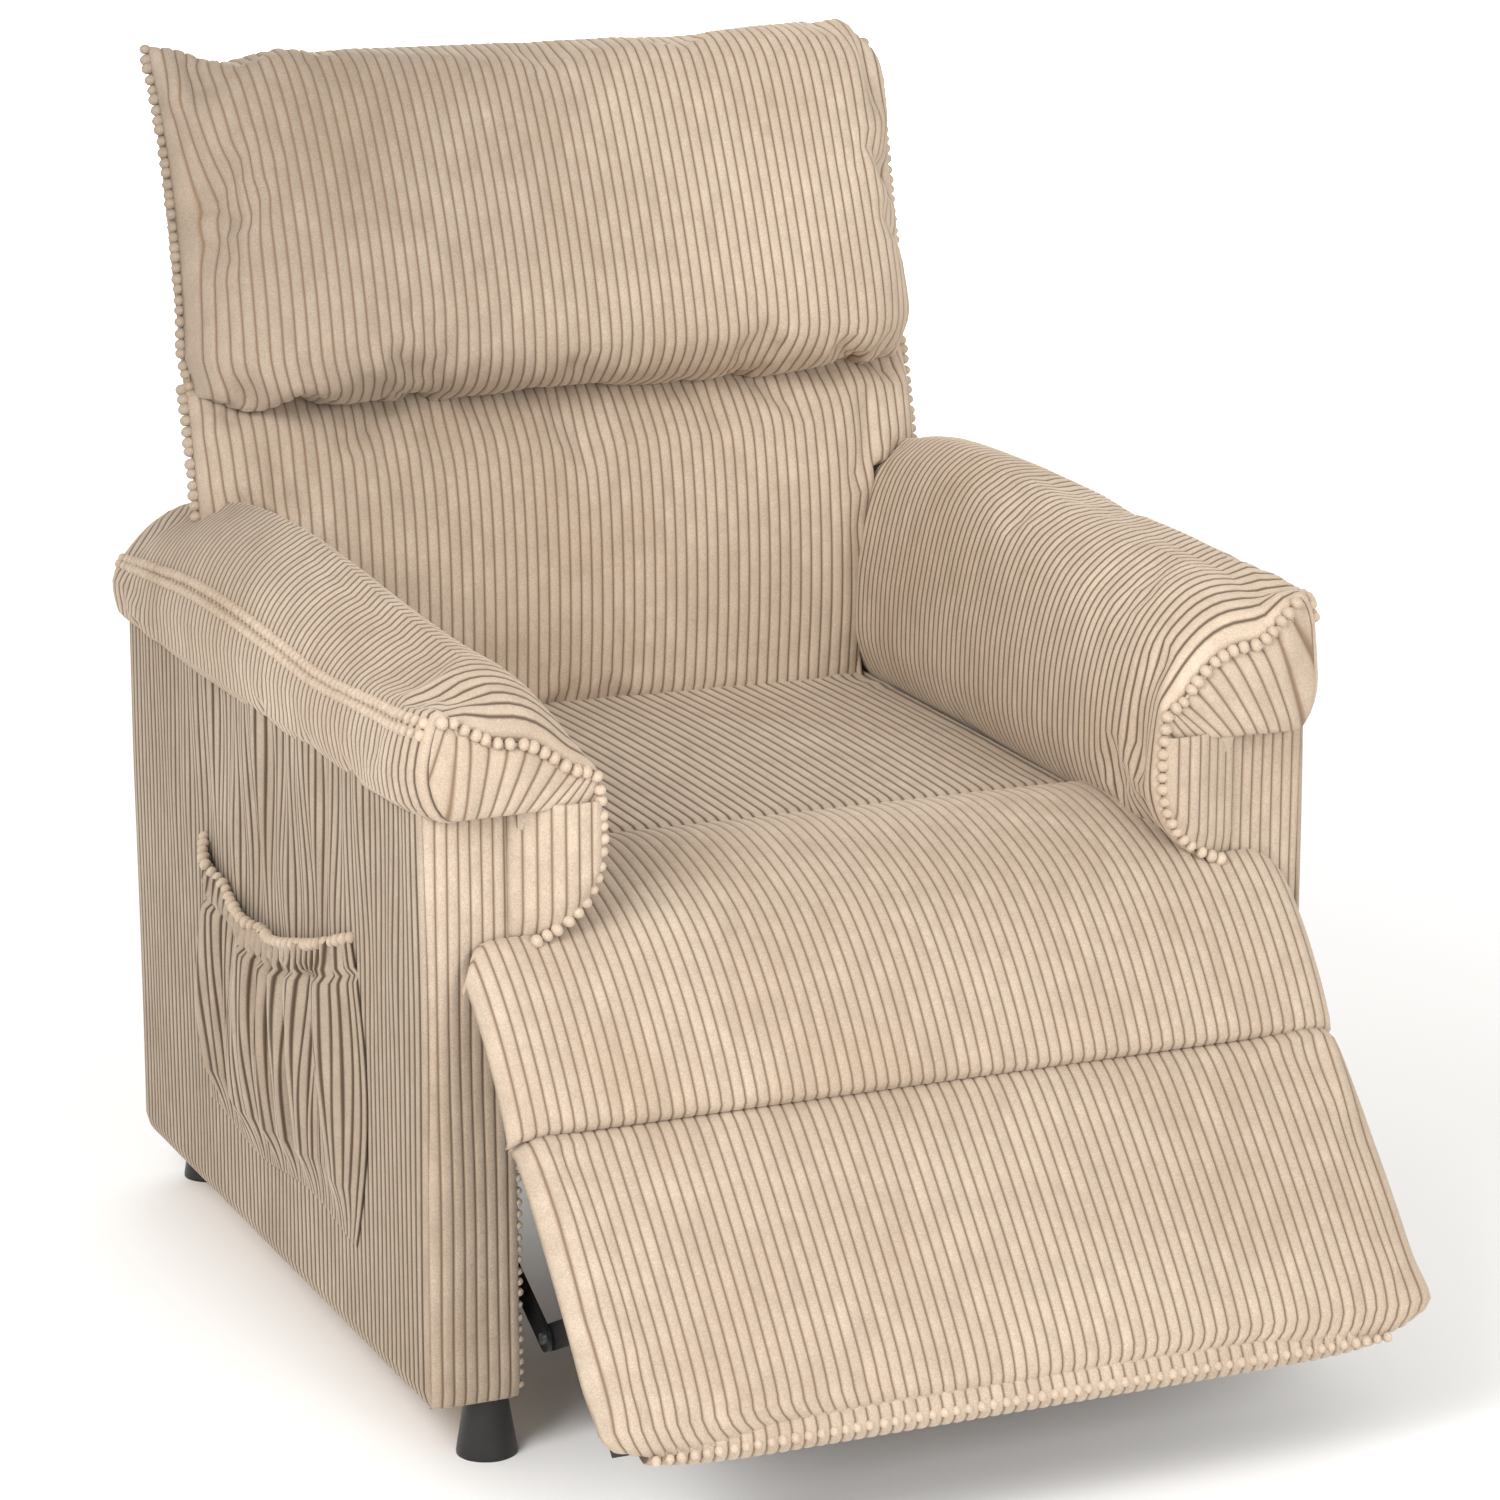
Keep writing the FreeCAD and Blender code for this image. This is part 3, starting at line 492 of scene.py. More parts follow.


# one corduroy in copies that differ only in tone and groove shade: painted light and shade set for each
# part
cordCloth = pileMaterial("corduroy_brushed_pile", True, tone=0.88)
backCloth = pileMaterial("corduroy_back_cushions", True)
# painted shade: the left pad and seat copy is a little darker, with darker, wider grooves
padCloth = pileMaterial("corduroy_pad_and_seat_painted_shade", True, tone=0.92, grooveShade="#58463a", flankShade=0.045)
# painted light: the right pad's copy is lighter, with darker, wider grooves
rightPadCloth = pileMaterial("corduroy_right_pad_painted_light", True, tone=1.06, grooveShade="#5c4a3b", flankShade=0.04)
# painted shade: the side walls and the pocket are much darker, with darker, wider grooves
wallCloth = pileMaterial("corduroy_side_walls_painted_shade", True, tone=0.73, grooveShade="#453526", flankShade=0.08)
tuftCloth = pileMaterial("corduroy_cut_ends", False)
footPlastic = speckled("polypropylene_moulded_black", "#1d1b1a", "#141312", 0.42, 240, 0.0003)
blackSteel = speckled("steel_black_powder_coated", "#16171a", "#0f1012", 0.38, 900, 0.0003)
zincSteel = speckled("steel_zinc_plated", "#b9bcc0", "#95999e", 0.34, 120, 0.0001, metallic=1.0)
liningBoard = clothMaterial("polypropylene_felt_lining", "#2b2826", "#1c1a19", 0.0016)
webbingCloth = clothMaterial("jute_webbing_woven", "#a98f66", "#7c6644", 0.0022)
plywoodBoard = boardMaterial("birch_plywood_sawn", "#c9a877", "#b08d5b", 60)
timberBoard = boardMaterial("pine_planed", "#c79d65", "#a77c47", 45)
slotMaterials = {"corduroy": cordCloth, "foot_plastic": footPlastic, "black_steel": blackSteel,
                 "zinc_steel": zincSteel, "webbing": webbingCloth, "lining_board": liningBoard,
                 "plywood": plywoodBoard, "timber": timberBoard}
for part in frame["record"]["subparts"]:
    node = frame["nodes"][part["node"]]
    node.data.materials.clear()
    node.data.materials.append(slotMaterials[part["material_slot"]])
frame["nodes"]["footrest_board"].data.materials[0] = liningBoard      # under a black dust cloth
print("materials made")

# ---- camera, floor and lights ----------------------------------------------------------
view = dict(place=(-1.5608, -3.5616, 1.4581), pitch=0.2427, turn=-0.4147, lens=111.45, sensor=36)
cameraData = bpy.data.cameras.new("camera")
cameraData.lens = view["lens"]
cameraData.sensor_width = view["sensor"]
camera = bpy.data.objects.new("camera", cameraData)
camera.location = view["place"]
camera.rotation_euler = (math.pi / 2 - view["pitch"], 0, view["turn"])
bpy.context.scene.collection.objects.link(camera)
bpy.context.scene.camera = camera

floorHalf = 40
bm = bmesh.new()
bmesh.ops.create_grid(bm, x_segments=1, y_segments=1, size=floorHalf)
floorMesh = bpy.data.meshes.new("floor")
bm.to_mesh(floorMesh)
bm.free()
floorPiece = bpy.data.objects.new("floor", floorMesh)
bpy.context.scene.collection.objects.link(floorPiece)
floorMaterial, tree = newMaterial("paper_white_matt")
floorShader = addNode(tree, "BsdfPrincipled", Roughness=0.9)
floorShader.inputs["Base Color"].default_value = linear("#f8f7f5")
addNode(tree, "OutputMaterial", i0=floorShader.outputs[0])
floorMesh.materials.append(floorMaterial)

lamps = dict(
    key=dict(place=(0.4, -4.2, 1.7), aim=(0, 0, 0.45), size=1.5, watts=95),
    side=dict(place=(-2.4, -1.7, 2.3), aim=(0, 0, 0.45), size=1.5, watts=84),
    rim=dict(place=(0.8, 2.8, 2.8), aim=(0, 0, 0.45), size=2.0, watts=18),
    backdrop=dict(place=(3.5, 9.0, 5.0), aim=(5.0, 11.0, 0), size=6.0, watts=1500),
)
for name, lamp in lamps.items():
    data = bpy.data.lights.new(name, "AREA")
    data.size, data.energy = lamp["size"], lamp["watts"]
    light = bpy.data.objects.new(name, data)
    light.location = lamp["place"]
    away = light.location - mathutils.Vector(lamp["aim"])
    light.rotation_euler = away.to_track_quat("Z", "Y").to_euler()
    bpy.context.scene.collection.objects.link(light)
sky = bpy.data.worlds.new("studio")
sky.use_nodes = True
skyShader = sky.node_tree.nodes["Background"]
skyShader.inputs["Color"].default_value = linear("#ffffff")
skyShader.inputs["Strength"].default_value = 0.78
bpy.context.scene.world = sky
bpy.context.scene.view_settings.view_transform = "Standard"
print("stage set")

# ---- head pillow -----------------------------------------------------------------------
head = dict(half=0.360, edge=0.032, middle=0.515, reach=0.165, waist=0.006, topCorner=0.012,
            lowCorner=0.010, droop=0.007, sag=0.012, lowEar=0.016, topEar=0.016, fill=0.75,
            stuffing=dict(pressure=3.0, slack=0.06, cap=0.016))
headLine, headLong = profile([(-0.018, 0.374), (-0.055, 0.357), (-0.090, 0.352), (-0.111, 0.372),
                              (-0.118, 0.42), (-0.112, 0.49), (-0.099, 0.56), (-0.082, 0.62),
                              (-0.060, 0.664), (-0.034, 0.690), (0.004, 0.688), (0.026, 0.666),
                              (0.012, 0.62), (0.0, 0.5), (-0.004, 0.40), (-0.018, 0.374)])


def headShape(s, t):
    a = 2 * s - 1
    b, u = headLine(t)
    full = (1 - np.abs(a) ** 5) ** 0.5
    ends = np.clip(np.abs((u - head["middle"]) / head["reach"]), 0, 1)
    seamBack = -head["edge"] + 0.012 * ends ** 3
    right = smoothStep(-0.2, 0.6, a)
    corner = head["topCorner"] * smoothStep(0.640, 0.690, u) * right
    corner = corner + head["lowCorner"] * smoothStep(0.400, 0.350, u)
    x = a * (head["half"] - head["waist"] * (1 - ends ** 2) - corner)
    uFull = head["middle"] + (u - head["middle"]) * (1 - (0.03 + 0.03 * right) * (1 - full))
    top = smoothStep(0.60, 0.68, u)
    # the left ear is pinched off by a small dip, and the right one turns down
    dip = 0.003 * np.exp(-((a + 0.84) / 0.09) ** 2) * top
    dip = dip + head["topEar"] * smoothStep(0.86, 1.0, a) ** 2 * top
    droop = head["droop"] * a ** 2 * top * (1 - np.abs(a) ** 10)
    sag = head["sag"] * (1 - a ** 2) - head["lowEar"] * np.abs(a) ** 14
    sag = sag * (1 - smoothStep(0.36, 0.43, u))
    return backPoint(x, seamBack + (b - seamBack) * full, uFull - droop - dip - sag)


headPillow = cover("head_pillow_cover", 2 * head["half"], headLong, headShape, (0, 0, 1),
                   moved=stuffed(headShape, 2 * head["half"], headLong, **head["stuffing"]),
                   looped=True, softEnds=(False, False), fillEnds=True)
finished(headPillow, "back", ["head_pillow"], material=backCloth)
print("head pillow done")

# ---- lumbar cushion --------------------------------------------------------------------
lumbar = dict(half=0.357, low=(0.266, 0.296), wing=0.258, edge=-0.018, seam=0.12, under=0.075, fill=0.6,
              stuffing=dict(pressure=2.0, slack=0.03, cap=0.010))
lumbarLine, lumbarLong = profile([(0.006, 0.03), (-0.012, 0.045), (-0.026, 0.08), (-0.046, 0.14),
                                  (-0.062, 0.21), (-0.069, 0.275), (-0.064, 0.33), (-0.046, 0.366),
                                  (-0.018, 0.381)])
wingStart = float(np.interp(lumbar["wing"], lumbarLine(np.linspace(0, 1, 200))[1], np.linspace(0, 1, 200)))


def lumbarShape(s, t):
    a = 2 * s - 1
    x = a * lumbar["half"]
    t = t + 0 * s
    start = wingStart * smoothStep(*lumbar["low"], np.abs(x))      # the lower edge of each wing
    under = np.clip(1 - t / np.maximum(start, 1e-6), 0, 1)
    b, u = lumbarLine(np.maximum(t, start))
    b = b + lumbar["under"] * under
    u = u - 0.004 * under
    full = np.sqrt(np.maximum(1 - np.abs(a) ** 6, 0))
    full = lumbar["seam"] + (1 - lumbar["seam"]) * full
    return backPoint(x, lumbar["edge"] + (b - lumbar["edge"]) * full, u)


lumbarPad = cover("lumbar_cushion_cover", 2 * lumbar["half"], lumbarLong, lumbarShape, (0, -1, 0),
                  moved=stuffed(lumbarShape, 2 * lumbar["half"], lumbarLong, **lumbar["stuffing"]))
finished(lumbarPad, "back", ["lumbar_cushion"], material=backCloth)
print("lumbar cushion done")

# ---- cover of the back's frame ---------------------------------------------------------
shell = dict(half=0.339, narrow=0.2795, low=-0.027, high=0.6745, rear=0.0485, front=-0.030,
             turn=0.925, tuck=-0.008, under=0.030)
shellHalf = [(shell["half"], shell["front"]), (shell["half"], 0.0), (shell["half"], 0.034),
             (0.3365, 0.0425), (0.330, 0.047), (0.318, shell["rear"]), (0.260, shell["rear"])]
shellAcross, shellWide = profile([(-x, b) for x, b in shellHalf] + [(0.0, shell["rear"] + 0.002)]
                                 + shellHalf[::-1])
shellLong = shell["high"] - shell["low"] + shell["rear"] - shell["front"]


def shellShape(s, t):
    x, b = shellAcross(s)
    u = shell["low"] + (shell["high"] - shell["low"]) * np.minimum(t / (shell["turn"] + 0.015), 1)
    # narrower between the arm pads, where only the cloth near the sides is drawn in
    drawn = (shell["half"] - shell["narrow"]) * (1 - smoothStep(0.235, 0.272, u))
    x = x - np.sign(x) * drawn * smoothStep(0.16, 0.33, np.abs(x))
    # the cloth turns over the top rail, under the pillow
    over = smoothStep(shell["turn"], 1.0, t)
    ahead = 1 - smoothStep(-0.005, 0.020, b)
    u = u - shell["under"] * (smoothStep(0.8, 1.0, over) + ahead * smoothStep(0.88, 0.96, t))
    return backPoint(x, b + (np.minimum(b, shell["tuck"]) - b) * over, u)


backCover = cover("back_frame_cover", shellWide, shellLong, shellShape, (0, 1, 0), thick=0.003)
finished(backCover, "back", ["back_outer_panel"])
print("back cover done")

# ---- seat cushion ----------------------------------------------------------------------
padGap = dict(front=0.246, rear=0.292, start=-0.018, end=0.80)      # half the space between the pads


def gapAt(back):
    along = np.clip((back - padGap["start"]) / (padGap["end"] - padGap["start"]), 0, 1)
    return padGap["front"] + (padGap["rear"] - padGap["front"]) * along


seat = dict(front=0.166, rear=0.690, middle=0.4, tucked=0.018, below=0.002, crown=0.006, seamDip=0.012,
            edge=0.014, thick=0.05, fill=0.55, stuffing=dict(pressure=1.5, slack=0.02, cap=0.007))


def seatShape(s, t):
    a = 2 * s - 1
    back = seat["rear"] + (seat["front"] - seat["rear"]) * t
    reach = gapAt(seat["front"]) + seat["tucked"] + 0.8 * (gapAt(back) - gapAt(seat["front"]))
    dip = seat["seamDip"] * smoothStep(0.93, 1.0, t) ** 2
    crown = seat["crown"] * (1 - a ** 4) * np.sin(math.pi * np.clip(t, 0, 1))
    up = seatTop - seat["below"] + crown - dip
    return chairPoint(a * reach, back, up - seat["edge"] * np.abs(a) ** 40)


seatLong = seat["rear"] - seat["front"]
seatWide = 2 * gapAt(seat["middle"])
seatPad = cover("seat_cushion_cover", seatWide, seatLong, seatShape, (0, 0, 1), thick=seat["thick"],
                moved=stuffed(seatShape, seatWide, seatLong, **seat["stuffing"]))
finished(seatPad, "base", ["seat_cushion"], material=padCloth)
print("seat cushion done")

# ---- front roll and calf pad: one cover over the nose of the seat ----------------------
roll = dict(half=0.371, seamHalf=0.365, ear=0.010, corner=0.036, cornerAt=0.335, rolled=0.007,
            fallen=0.020, side=0.012, fill=0.6, thick=0.022)
rollLine, rollLong = profile([(0.166, 0.452), (0.160, 0.463), (0.142, 0.471), (0.10, 0.473),
                              (0.05, 0.463), (0.0, 0.445), (-0.035, 0.423), (-0.068, 0.392),
                              (-0.096, 0.357), (-0.113, 0.330), (-0.118, 0.319), (-0.112, 0.310)])
rollSteps = np.linspace(0, 1, 300)[:280]      # short of the seam, where the line turns back
rollBacks = rollLine(rollSteps)[0]


def rollShape(s, t):
    a = 2 * s - 1
    t = t + 0 * s
    half = roll["half"] + (roll["seamHalf"] - roll["half"]) * t
    x = a * half
    # in front of the arms the cover starts ahead of their faces, lower at its outer corners
    tuck = -roll["ear"] - roll["corner"] * np.clip((np.abs(x) - roll["cornerAt"]) / 0.036, 0, 1) ** 2
    tuckAt = np.interp(-tuck, -rollBacks, rollSteps)
    start = tuckAt * smoothStep(padGap["front"] + 0.022, padGap["front"] + 0.048, np.abs(x))
    back, up = rollLine(np.maximum(t, start))
    fallen = np.clip(1 - t / np.maximum(start, 1e-6), 0, 1)
    back = back + roll["rolled"] * np.sqrt(fallen)
    up = up - roll["fallen"] * fallen * (1 - smoothStep(0.325, 0.350, np.abs(x)))
    side = roll["side"] * np.abs(a) ** 40
    return chairPoint(x, back + side, up - side)


rollPad = cover("front_roll_cover", 2 * roll["half"], rollLong, rollShape, (0, -1, 1), thick=roll["thick"])
rollPad.data.materials.clear()
rollPad.data.materials.append(cordCloth)
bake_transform(rollPad)
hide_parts("front_roll", "calf_pad")
print("front roll done")

# ---- footrest pad ----------------------------------------------------------------------
rest = dict(half=0.364, foot=0.361, corner=0.010, under=0.024, slant=0.005, deep=0.024, shallow=0.016,
            thick=0.020, fill=0.55, stuffing=dict(pressure=1.5, slack=0.02, cap=0.006))
restLine, restLong = profile([(0.013, -0.012), (0.004, -0.007), (-0.002, 0.006), (-0.006, 0.06),
                              (-0.007, 0.13), (-0.005, 0.19), (-0.001, 0.226), (0.008, 0.246),
                              (0.022, 0.253), (0.036, 0.246)])


def restShape(s, t):
    a = 2 * s - 1
    depth, down = restLine(t)
    half = rest["half"] + (rest["foot"] - rest["half"]) * t
    side = np.abs(a) ** 36
    corner = rest["corner"] * np.abs(a) ** 14 * smoothStep(0.8, 1.0, t)
    under = rest["under"] * smoothStep(0.86, 1.0, t)
    across = a * (half - under) + rest["slant"] * (1 - t)
    # less deep at the foot end, which hangs in front of the chair's feet when closed
    deep = rest["deep"] - rest["shallow"] * smoothStep(0.70, 0.90, t)
    return restPoint(across, depth + side * deep, down - corner)


restWide = 2 * rest["half"]
restPad = cover("footrest_pad_cover", restWide, restLong, restShape, (0, -1, 1), thick=rest["thick"],
                moved=stuffed(restShape, restWide, restLong, **rest["stuffing"]))
finished(restPad, "footrest", ["footrest_pad"])

lip = dict(half=0.322, front=0.018, low=0.263, corner=0.008, seed=61,
           tufts=dict(radius=0.0042, pitch=0.0105))
lipLine, lipLong = profile([(lip["front"] + 0.004, 0.225), (lip["front"], 0.245),
                            (lip["front"] + 0.002, 0.256), (lip["front"] + 0.009, lip["low"]),
                            (lip["front"] + 0.020, 0.262), (lip["front"] + 0.027, 0.250)])


def lipShape(s, t):
    a = 2 * s - 1
    depth, down = lipLine(t)
    return restPoint(a * lip["half"], depth, down - lip["corner"] * np.abs(a) ** 10)


restLip = cover("footrest_lower_boxing", 2 * lip["half"], lipLong, lipShape, (0, -1, -1), thick=0.006,
                row=0.006)
finished(restLip, "footrest")
print("footrest done")

# ---- arm pads --------------------------------------------------------------------------
pad = dict(start=-0.018, end=0.812, level={-1: -0.008, 1: 0.010}, follow=0.9, dropBack=0.013,
           corner=0.020, fall=0.038, drawnIn=0.012, rim=0.004, rearRim=0.020, middle=(0.327, 0.56),
           fill=0.7, stuffing=dict(pressure=1.2, slack=0.015, cap=0.005))
padSection, padAround = profile([(0.318, 0.546), (0.350, 0.543), (0.386, 0.541), (0.401, 0.552),
                                 (0.408, 0.580), (0.401, 0.608), (0.385, 0.634), (0.358, 0.655),
                                 (0.325, 0.662), (0.293, 0.650), (0.265, 0.618), (0.250, 0.575),
                                 (0.246, 0.525), (0.248, 0.495), (0.260, 0.465), (0.282, 0.445),
                                 (0.305, 0.434), (0.313, 0.455), (0.314, 0.500), (0.318, 0.546)], 600)
padSteps = np.linspace(0, 1, 600)
padX, padZ = padSection(padSteps)
padCrest = profile([(-0.02, -0.012), (0.10, -0.008), (0.22, 0.002), (0.34, 0.014), (0.46, 0.025),
                    (0.58, 0.024), (0.69, 0.008), (0.76, -0.004), (0.82, -0.020)])[0]
crestBack, crestUp = padCrest(np.linspace(0, 1, 200))


def padPlace(x, z):      # where round the section the pad passes a point
    return float(padSteps[np.argmin(np.hypot(padX - x, padZ - z))])


def padShape(sign):
    def shape(s, t):
        back = pad["start"] + (pad["end"] - pad["start"]) * s
        x, z = padSection(t)
        back, x, z = np.broadcast_arrays(back, x, z)
        rise = np.interp(back, crestBack, crestUp) + pad["level"][sign]
        inner = 1 - smoothStep(0.27, 0.36, x)
        x = x + (gapAt(back) - padGap["front"]) * inner * pad["follow"]
        z = z + rise * smoothStep(0.57, 0.65, z)
        dropped = smoothStep(0.270, 0.310, x) * (1 - smoothStep(0.50, 0.55, z))
        back = back + pad["dropBack"] * dropped * (1 - smoothStep(0, 0.1, s))
        # the top rolls down to the piping, and the outer side draws in
        fore = 1 - np.clip(s / 0.11, 0, 1)
        outer = smoothStep(0.370, 0.398, x) * smoothStep(0.580, 0.606, z)
        z = z + pad["corner"] * (1 - smoothStep(0, 0.35, s)) * outer
        if sign > 0:      # this pad stands fuller at its front corner
            lift = (0.014 + 0.006 * smoothStep(0, 0.15, s)) * (1 - smoothStep(0.20, 0.65, s))
            z = z + lift * smoothStep(0.345, 0.375, x) * smoothStep(0.600, 0.630, z)
        fall = 0.5 * (1 - np.sqrt(1 - fore ** 2)) + 0.5 * fore ** 2
        z = z - pad["fall"] * fall * (1 - smoothStep(0.33, 0.39, x)) * smoothStep(0.56, 0.62, z)
        x = x - pad["drawnIn"] * (1 - np.clip(s / 0.08, 0, 1)) ** 2 * smoothStep(0.36, 0.40, x)
        inset = pad["rim"] * (1 - smoothStep(0, 0.006, s)) + pad["rearRim"] * smoothStep(0.965, 1.0, s) ** 2
        middleX, middleZ = pad["middle"]
        reach = np.sqrt((x - middleX) ** 2 + (z - middleZ) ** 2)
        x = x - (x - middleX) / np.maximum(reach, 0.02) * inset
        z = z - (z - middleZ) / np.maximum(reach, 0.02) * inset
        return chairPoint(sign * x, back, z)
    return shape


padClothOf = dict(left=padCloth, right=rightPadCloth)
padSeam = dict(place=padPlace(0.401, 0.608), apart=0.0042, out=0.0014, width=0.006, dip=0.001, seed=30,
               tufts=dict(radius=0.0046, pitch=0.0105, squashed=0.84))
padLong = pad["end"] - pad["start"]


def padSeamDip(s, t, p):
    return -padSeam["dip"] * np.exp(-((t - padSeam["place"]) / padSeam["width"]) ** 2) + 0 * s


for side, sign in sides:
    shape = padShape(sign)
    arm = cover(side + "_arm_pad_cover", padLong, padAround, shape, (0, 0, 1),
                moved=stuffed(shape, padLong, padAround, **pad["stuffing"]), looped=True,
                softEnds=(False, False), relief=padSeamDip, fillEnds=True, ribs=lowRibs)
    finished(arm, "base", [side + "_arm_pad"], material=padClothOf[side])
    for row, shift in (("upper", -padSeam["apart"]), ("lower", padSeam["apart"])):
        around = padSeam["place"] + shift / padAround
        seamLine = onSurface(side + "_arm_pad_cover", [(f, around) for f in np.linspace(0.012, 0.97, 60)],
                             padSeam["out"])
        beads(side + "_arm_pad_outer_seam_" + row, seamLine, "base", **padSeam["tufts"],
              seed=padSeam["seed"] + sign + round(1000 * shift))
print("arm pads done")

# ---- faces of the arm pads -------------------------------------------------------------
band = dict(inner=0.252, front=-0.016, bulge=0.017, mitre=0.15, puffed=0.08, wide=0.147, high=0.085,
            fill=0.6, piping=0.004, tufts=dict(radius=0.0055, pitch=0.0102))
drop = dict(outer=0.3235, top=0.548, bulge=0.010, back=0.014, hem=0.004, wide=0.070, high=0.10, fill=0.5)
crownPlaces = {-1: padPlace(0.396, 0.618), 1: padPlace(0.381, 0.639)}
innerPlace = padPlace(0.2465, 0.541)
outerPlace = padPlace(0.390, 0.542)
dropPlace = padPlace(0.305, 0.434)


def frontRing(sign, places):      # the front edge of the pad, as distances across and up
    ring = padShape(sign)(np.zeros_like(places), places)
    return np.abs(ring[..., 0]), ring[..., 2]


def bandShape(sign):      # the ribs fan from the piping down to the lower edge and the corner
    crownPlace = crownPlaces[sign]

    def shape(s, t):
        topX, topZ = frontRing(sign, innerPlace + (crownPlace - innerPlace) * s)
        turn = np.clip((s - 1 + band["mitre"]) / band["mitre"], 0, 1)
        footX, footZ = frontRing(sign, outerPlace + (crownPlace - outerPlace) * turn)
        footX = band["inner"] + (footX - band["inner"]) * np.clip(s / (1 - band["mitre"]), 0, 1)
        x = footX + (topX - footX) * t
        z = footZ + (topZ - footZ) * t
        puff = np.sqrt(np.maximum(1 - np.abs(2 * t - 0.85) ** 3, 0)) * (1.0 - 0.45 * t)
        puff = puff * np.minimum(1, 9 * s + 0.3) * np.minimum(1, 4 * (1 - s) + 0.1)
        puff = puff * np.clip((topZ - footZ) / band["puffed"], 0.1, 1)
        return chairPoint(sign * x, band["front"] - band["bulge"] * puff, z)
    return shape


def dropShape(sign):
    places = np.linspace(innerPlace, dropPlace, 120)
    edgeX, edgeZ = frontRing(sign, places)
    edgeX = np.maximum.accumulate(edgeX)

    def shape(s, t):
        x = edgeX[0] + (drop["outer"] - edgeX[0]) * s
        low = np.interp(x, edgeX, edgeZ)
        z = low + (drop["top"] - low) * t
        puff = np.minimum(1, 8 * s + 0.2) * np.minimum(1, 3 * (1 - s) + 0.25) * np.minimum(1, 5 * t + 0.1)
        back = drop["back"] * smoothStep(0.30, 0.95, s) + drop["hem"] * smoothStep(0.95, 1.0, s)
        front = band["front"] + back
        return chairPoint(sign * x, front - drop["bulge"] * np.sqrt(np.clip(puff, 0, 1)), z)
    return shape


for side, sign in sides:
    upper = cover(side + "_arm_pad_front_band", band["wide"], band["high"], bandShape(sign), (0, -1, 0),
                  thick=0.016, row=0.005)
    finished(upper, "base")
    lower = cover(side + "_arm_pad_inner_drop", drop["wide"], drop["high"], dropShape(sign), (0, -1, 0),
                  thick=0.010, row=0.006)
    finished(lower, "base")
    edgeX, edgeZ = frontRing(sign, np.linspace(dropPlace, crownPlaces[sign], 16))
    piping = [(sign * x, armFront + band["front"] - band["piping"], z) for x, z in zip(edgeX, edgeZ)]
    beads(side + "_arm_pad_piping", piping, "base", **band["tufts"], seed=7 + sign)
print("pad faces done")

# ---- arm covers ------------------------------------------------------------------------
wall = dict(high=armTop + 0.008 - armLow, sway=0.0075, pucker=0.0080, hem=0.004, row=0.014)
face = dict(edge=0.001, shorter=0.004, high=armTop + 0.012 - armLow, sway=0.0016, crown=0.004,
            hem=0.003, stand=0.002, tufts=dict(radius=0.0042, pitch=0.0098))
sidePlan, sidePlanLong = profile([(armInner + 0.004, armRear + 0.002), (0.36, armRear + 0.003),
                                  (armOuter - 0.012, armRear + 0.001), (armOuter - 0.001, armRear - 0.010),
                                  (armOuter, armRear - 0.06), (armOuter, 0.6), (armOuter, 0.4),
                                  (armOuter, 0.2), (armOuter, 0.05), (armOuter - 0.001, 0.006),
                                  (armOuter - 0.006, 0.0015)], 900)


def wander(x, y, z, size, seed):
    # a soft, repeatable unevenness made of a few crossing waves
    rand = random.Random(seed)
    waves = 6
    total = 0
    for _ in range(waves):
        fx, fy, fz = (rand.uniform(-1, 1) / size for _ in range(3))
        phase = rand.uniform(0, fullTurn)
        total = total + np.sin(x * fx * fullTurn + y * fy * fullTurn + z * fz * fullTurn + phase)
    return total / waves


def sideShape(sign):
    def shape(s, t):
        x, back = sidePlan(s)
        x, back, up = np.broadcast_arrays(x, back, armLow + wall["high"] * t)
        onSide = smoothStep(0.385, 0.394, x)
        # the ribs wander, and above the pocket the cloth puckers
        near = np.exp(-((back - 0.36) / 0.26) ** 2) * smoothStep(0.30, 0.44, up) * onSide
        sway = wall["sway"] * wander(back * 0.7, back, up * 0.35, 0.16, 5) * onSide
        pucker = wall["pucker"] * near * wander(back * 2.2, back * 2, up * 0.45, 0.10, 9)
        hem = wall["hem"] * (1 - smoothStep(0.0, 0.02, t))
        return chairPoint(sign * (x - hem + pucker), back + sway, up)
    return shape


def frontShape(sign):
    def shape(s, t):
        a = 2 * s - 1
        x = armInner + face["edge"] + (armOuter - face["shorter"] - armInner) * s
        x, up = np.broadcast_arrays(x, armLow + face["high"] * t)
        sway = face["sway"] * wander(x * 3, x, up * 0.6, 0.12, 21)
        crown = face["crown"] * (1 - a ** 6) - face["hem"] * (1 - smoothStep(0.0, 0.02, t))
        return chairPoint(sign * (x + sway * (1 - a ** 4)), face["stand"] - crown, up)
    return shape


for side, sign in sides:
    sidePanel = cover(side + "_side_panel_cover", sidePlanLong, wall["high"], sideShape(sign), (sign, 0, 0),
                      thick=0.004, row=wall["row"], ribs=lowRibs)
    finished(sidePanel, "base", [side + "_side_cover"], material=wallCloth)
    frontPanel = cover(side + "_arm_front_cover", armOuter - armInner, wall["high"], frontShape(sign),
                       (0, -1, 0), thick=0.005, row=wall["row"])
    finished(frontPanel, "base", [side + "_arm_front_panel"])
    inner = sign * (armInner + face["edge"])
    innerEdge = [(inner, armFront + 0.004, armLow + 0.010), (inner, armFront + 0.003, 0.25),
                 (inner, armFront + 0.004, 0.43)]
    beads(side + "_arm_front_inner_edge", innerEdge, "base", **face["tufts"], seed=12 + sign)
print("arm covers done")

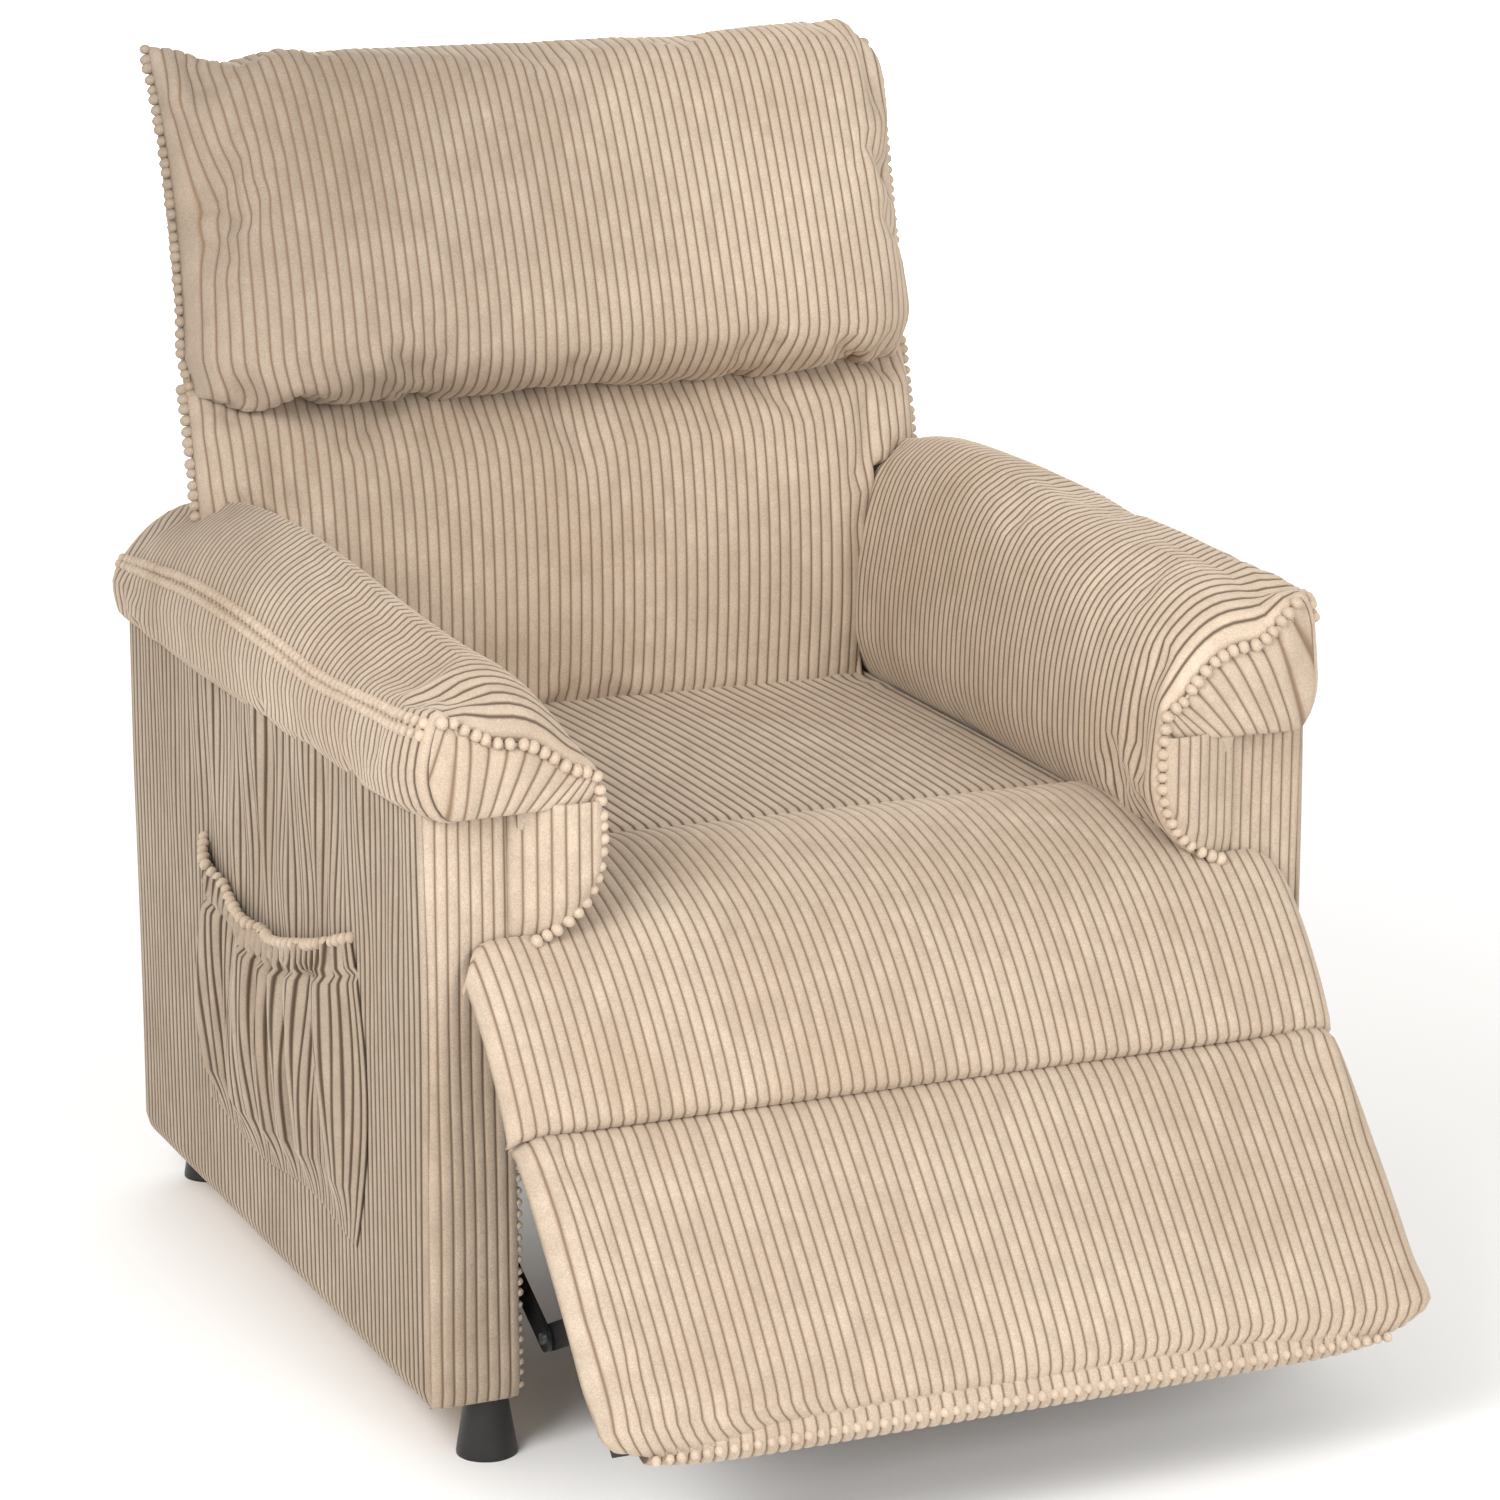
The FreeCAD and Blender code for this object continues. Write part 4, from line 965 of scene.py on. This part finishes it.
# ---- side pocket -----------------------------------------------------------------------
# flat is the size of the sheet, and cut the larger size that its ribs are counted over
pocket = dict(rear=0.563, front=0.163, low=0.142, stand=0.008, cut=(0.56, 0.27), flat=(0.42, 0.26),
              drawn=0.034, belly=0.011, fold=0.0105, folds=7, fine=0.0026, fines=26, ruffle=0.003,
              stitch=0.004, stitchAt=0.885, sway=0.007, sewn=0.006,
              tufts=dict(radius=0.0054, pitch=0.0112, squashed=0.78))
mouthLine = profile([(0.563, 0.392), (0.520, 0.376), (0.46, 0.360), (0.40, 0.353), (0.33, 0.358),
                     (0.26, 0.374), (0.20, 0.392), (0.163, 0.405)])[0]


def pocketShape(s, t):
    mouthBack, mouthUp = mouthLine(s)
    footBack = pocket["rear"] + (pocket["front"] - pocket["rear"]) * s
    footUp = pocket["low"] + 0.006 * np.cos(s * 9)
    middle = np.sin(math.pi * np.clip(t, 0, 1))
    back = footBack + (mouthBack - footBack) * t - pocket["drawn"] * s ** 2 * middle
    up = footUp + (mouthUp - footUp) * t
    edge = np.minimum(1, 10 * np.minimum(s, 1 - s)) * np.minimum(1, 5 * t)
    # wide pleats below the elastic, fine ones in it, and a ruffle above its stitches
    turns = s * fullTurn * pocket["folds"] + 2.2 * np.sin(s * 11)
    ruffle = smoothStep(0.86, 0.93, t)
    fold = pocket["fold"] * np.sin(turns + 0.8 * np.sin(t * 4 + s * 5)) * (1 - ruffle) * (0.35 + 0.65 * t)
    fine = np.sin(s * fullTurn * pocket["fines"] + 1.5 * np.sin(t * 6))
    fine = pocket["fine"] * fine * (0.35 + ruffle)
    stitch = pocket["stitch"] * np.exp(-((t - pocket["stitchAt"]) / 0.012) ** 2)
    out = pocket["stand"] + pocket["belly"] * middle * edge
    out = out + edge * (fold + fine + pocket["ruffle"] * ruffle) - stitch - pocket["sewn"] * (1 - edge)
    sway = pocket["sway"] * np.cos(turns) * np.sin(math.pi * t) * edge
    return chairPoint(-(armOuter + out), back + sway, up)


pocketSheet = cover("side_pocket_cloth", pocket["cut"][0], pocket["cut"][1], pocketShape, (-1, 0, 0),
                    thick=0.0022, row=0.006, ribs=lowRibs)
finished(pocketSheet, "base", ["side_pocket"], material=wallCloth)
mouthPoints = [tuple(pocketShape(np.array(f), np.array(0.995))) for f in np.linspace(0, 1, 12)]
beads("side_pocket_ruffle", mouthPoints, "base", **pocket["tufts"], seed=31)
print("pocket done")

# ---- seams of the back cushions --------------------------------------------------------
backSeam = dict(out=0.0022, headSeed=41, lumbarSeed=51, tufts=dict(radius=0.0060, pitch=0.0096))
searched = np.linspace(0, 1, 200)
lowerPart = 0.4      # the part of the pillow's line that holds its lower edge
headTop = float(searched[np.argmax(headLine(searched)[1])])
headLow = float(searched[np.argmin(headLine(searched * lowerPart)[1])] * lowerPart)
for side, sign in sides:
    edge = 0 if sign < 0 else 1
    lay = (sign * backSeam["out"], 0, 0)
    headEdge = onSurface("head_pillow_cover", [(edge, f) for f in np.linspace(headLow, headTop, 24)])
    beads(side + "_head_pillow_seam", headEdge, "back", **backSeam["tufts"],
          seed=backSeam["headSeed"] + sign, lay=lay)
    lumbarEdge = onSurface("lumbar_cushion_cover",
                           [(edge, f) for f in np.linspace(wingStart + 0.01, 0.98, 16)])
    beads(side + "_lumbar_seam", lumbarEdge, "back", **backSeam["tufts"],
          seed=backSeam["lumbarSeed"] + sign, lay=lay)

restEdge = [tuple(restPoint(x, lip["front"] + 0.004, lip["low"] - 0.003))
            for x in np.linspace(-lip["half"] + 0.004, lip["half"] - 0.004, 9)]
beads("footrest_lower_seam", restEdge, "footrest", **lip["tufts"], seed=lip["seed"])
print("seams done")
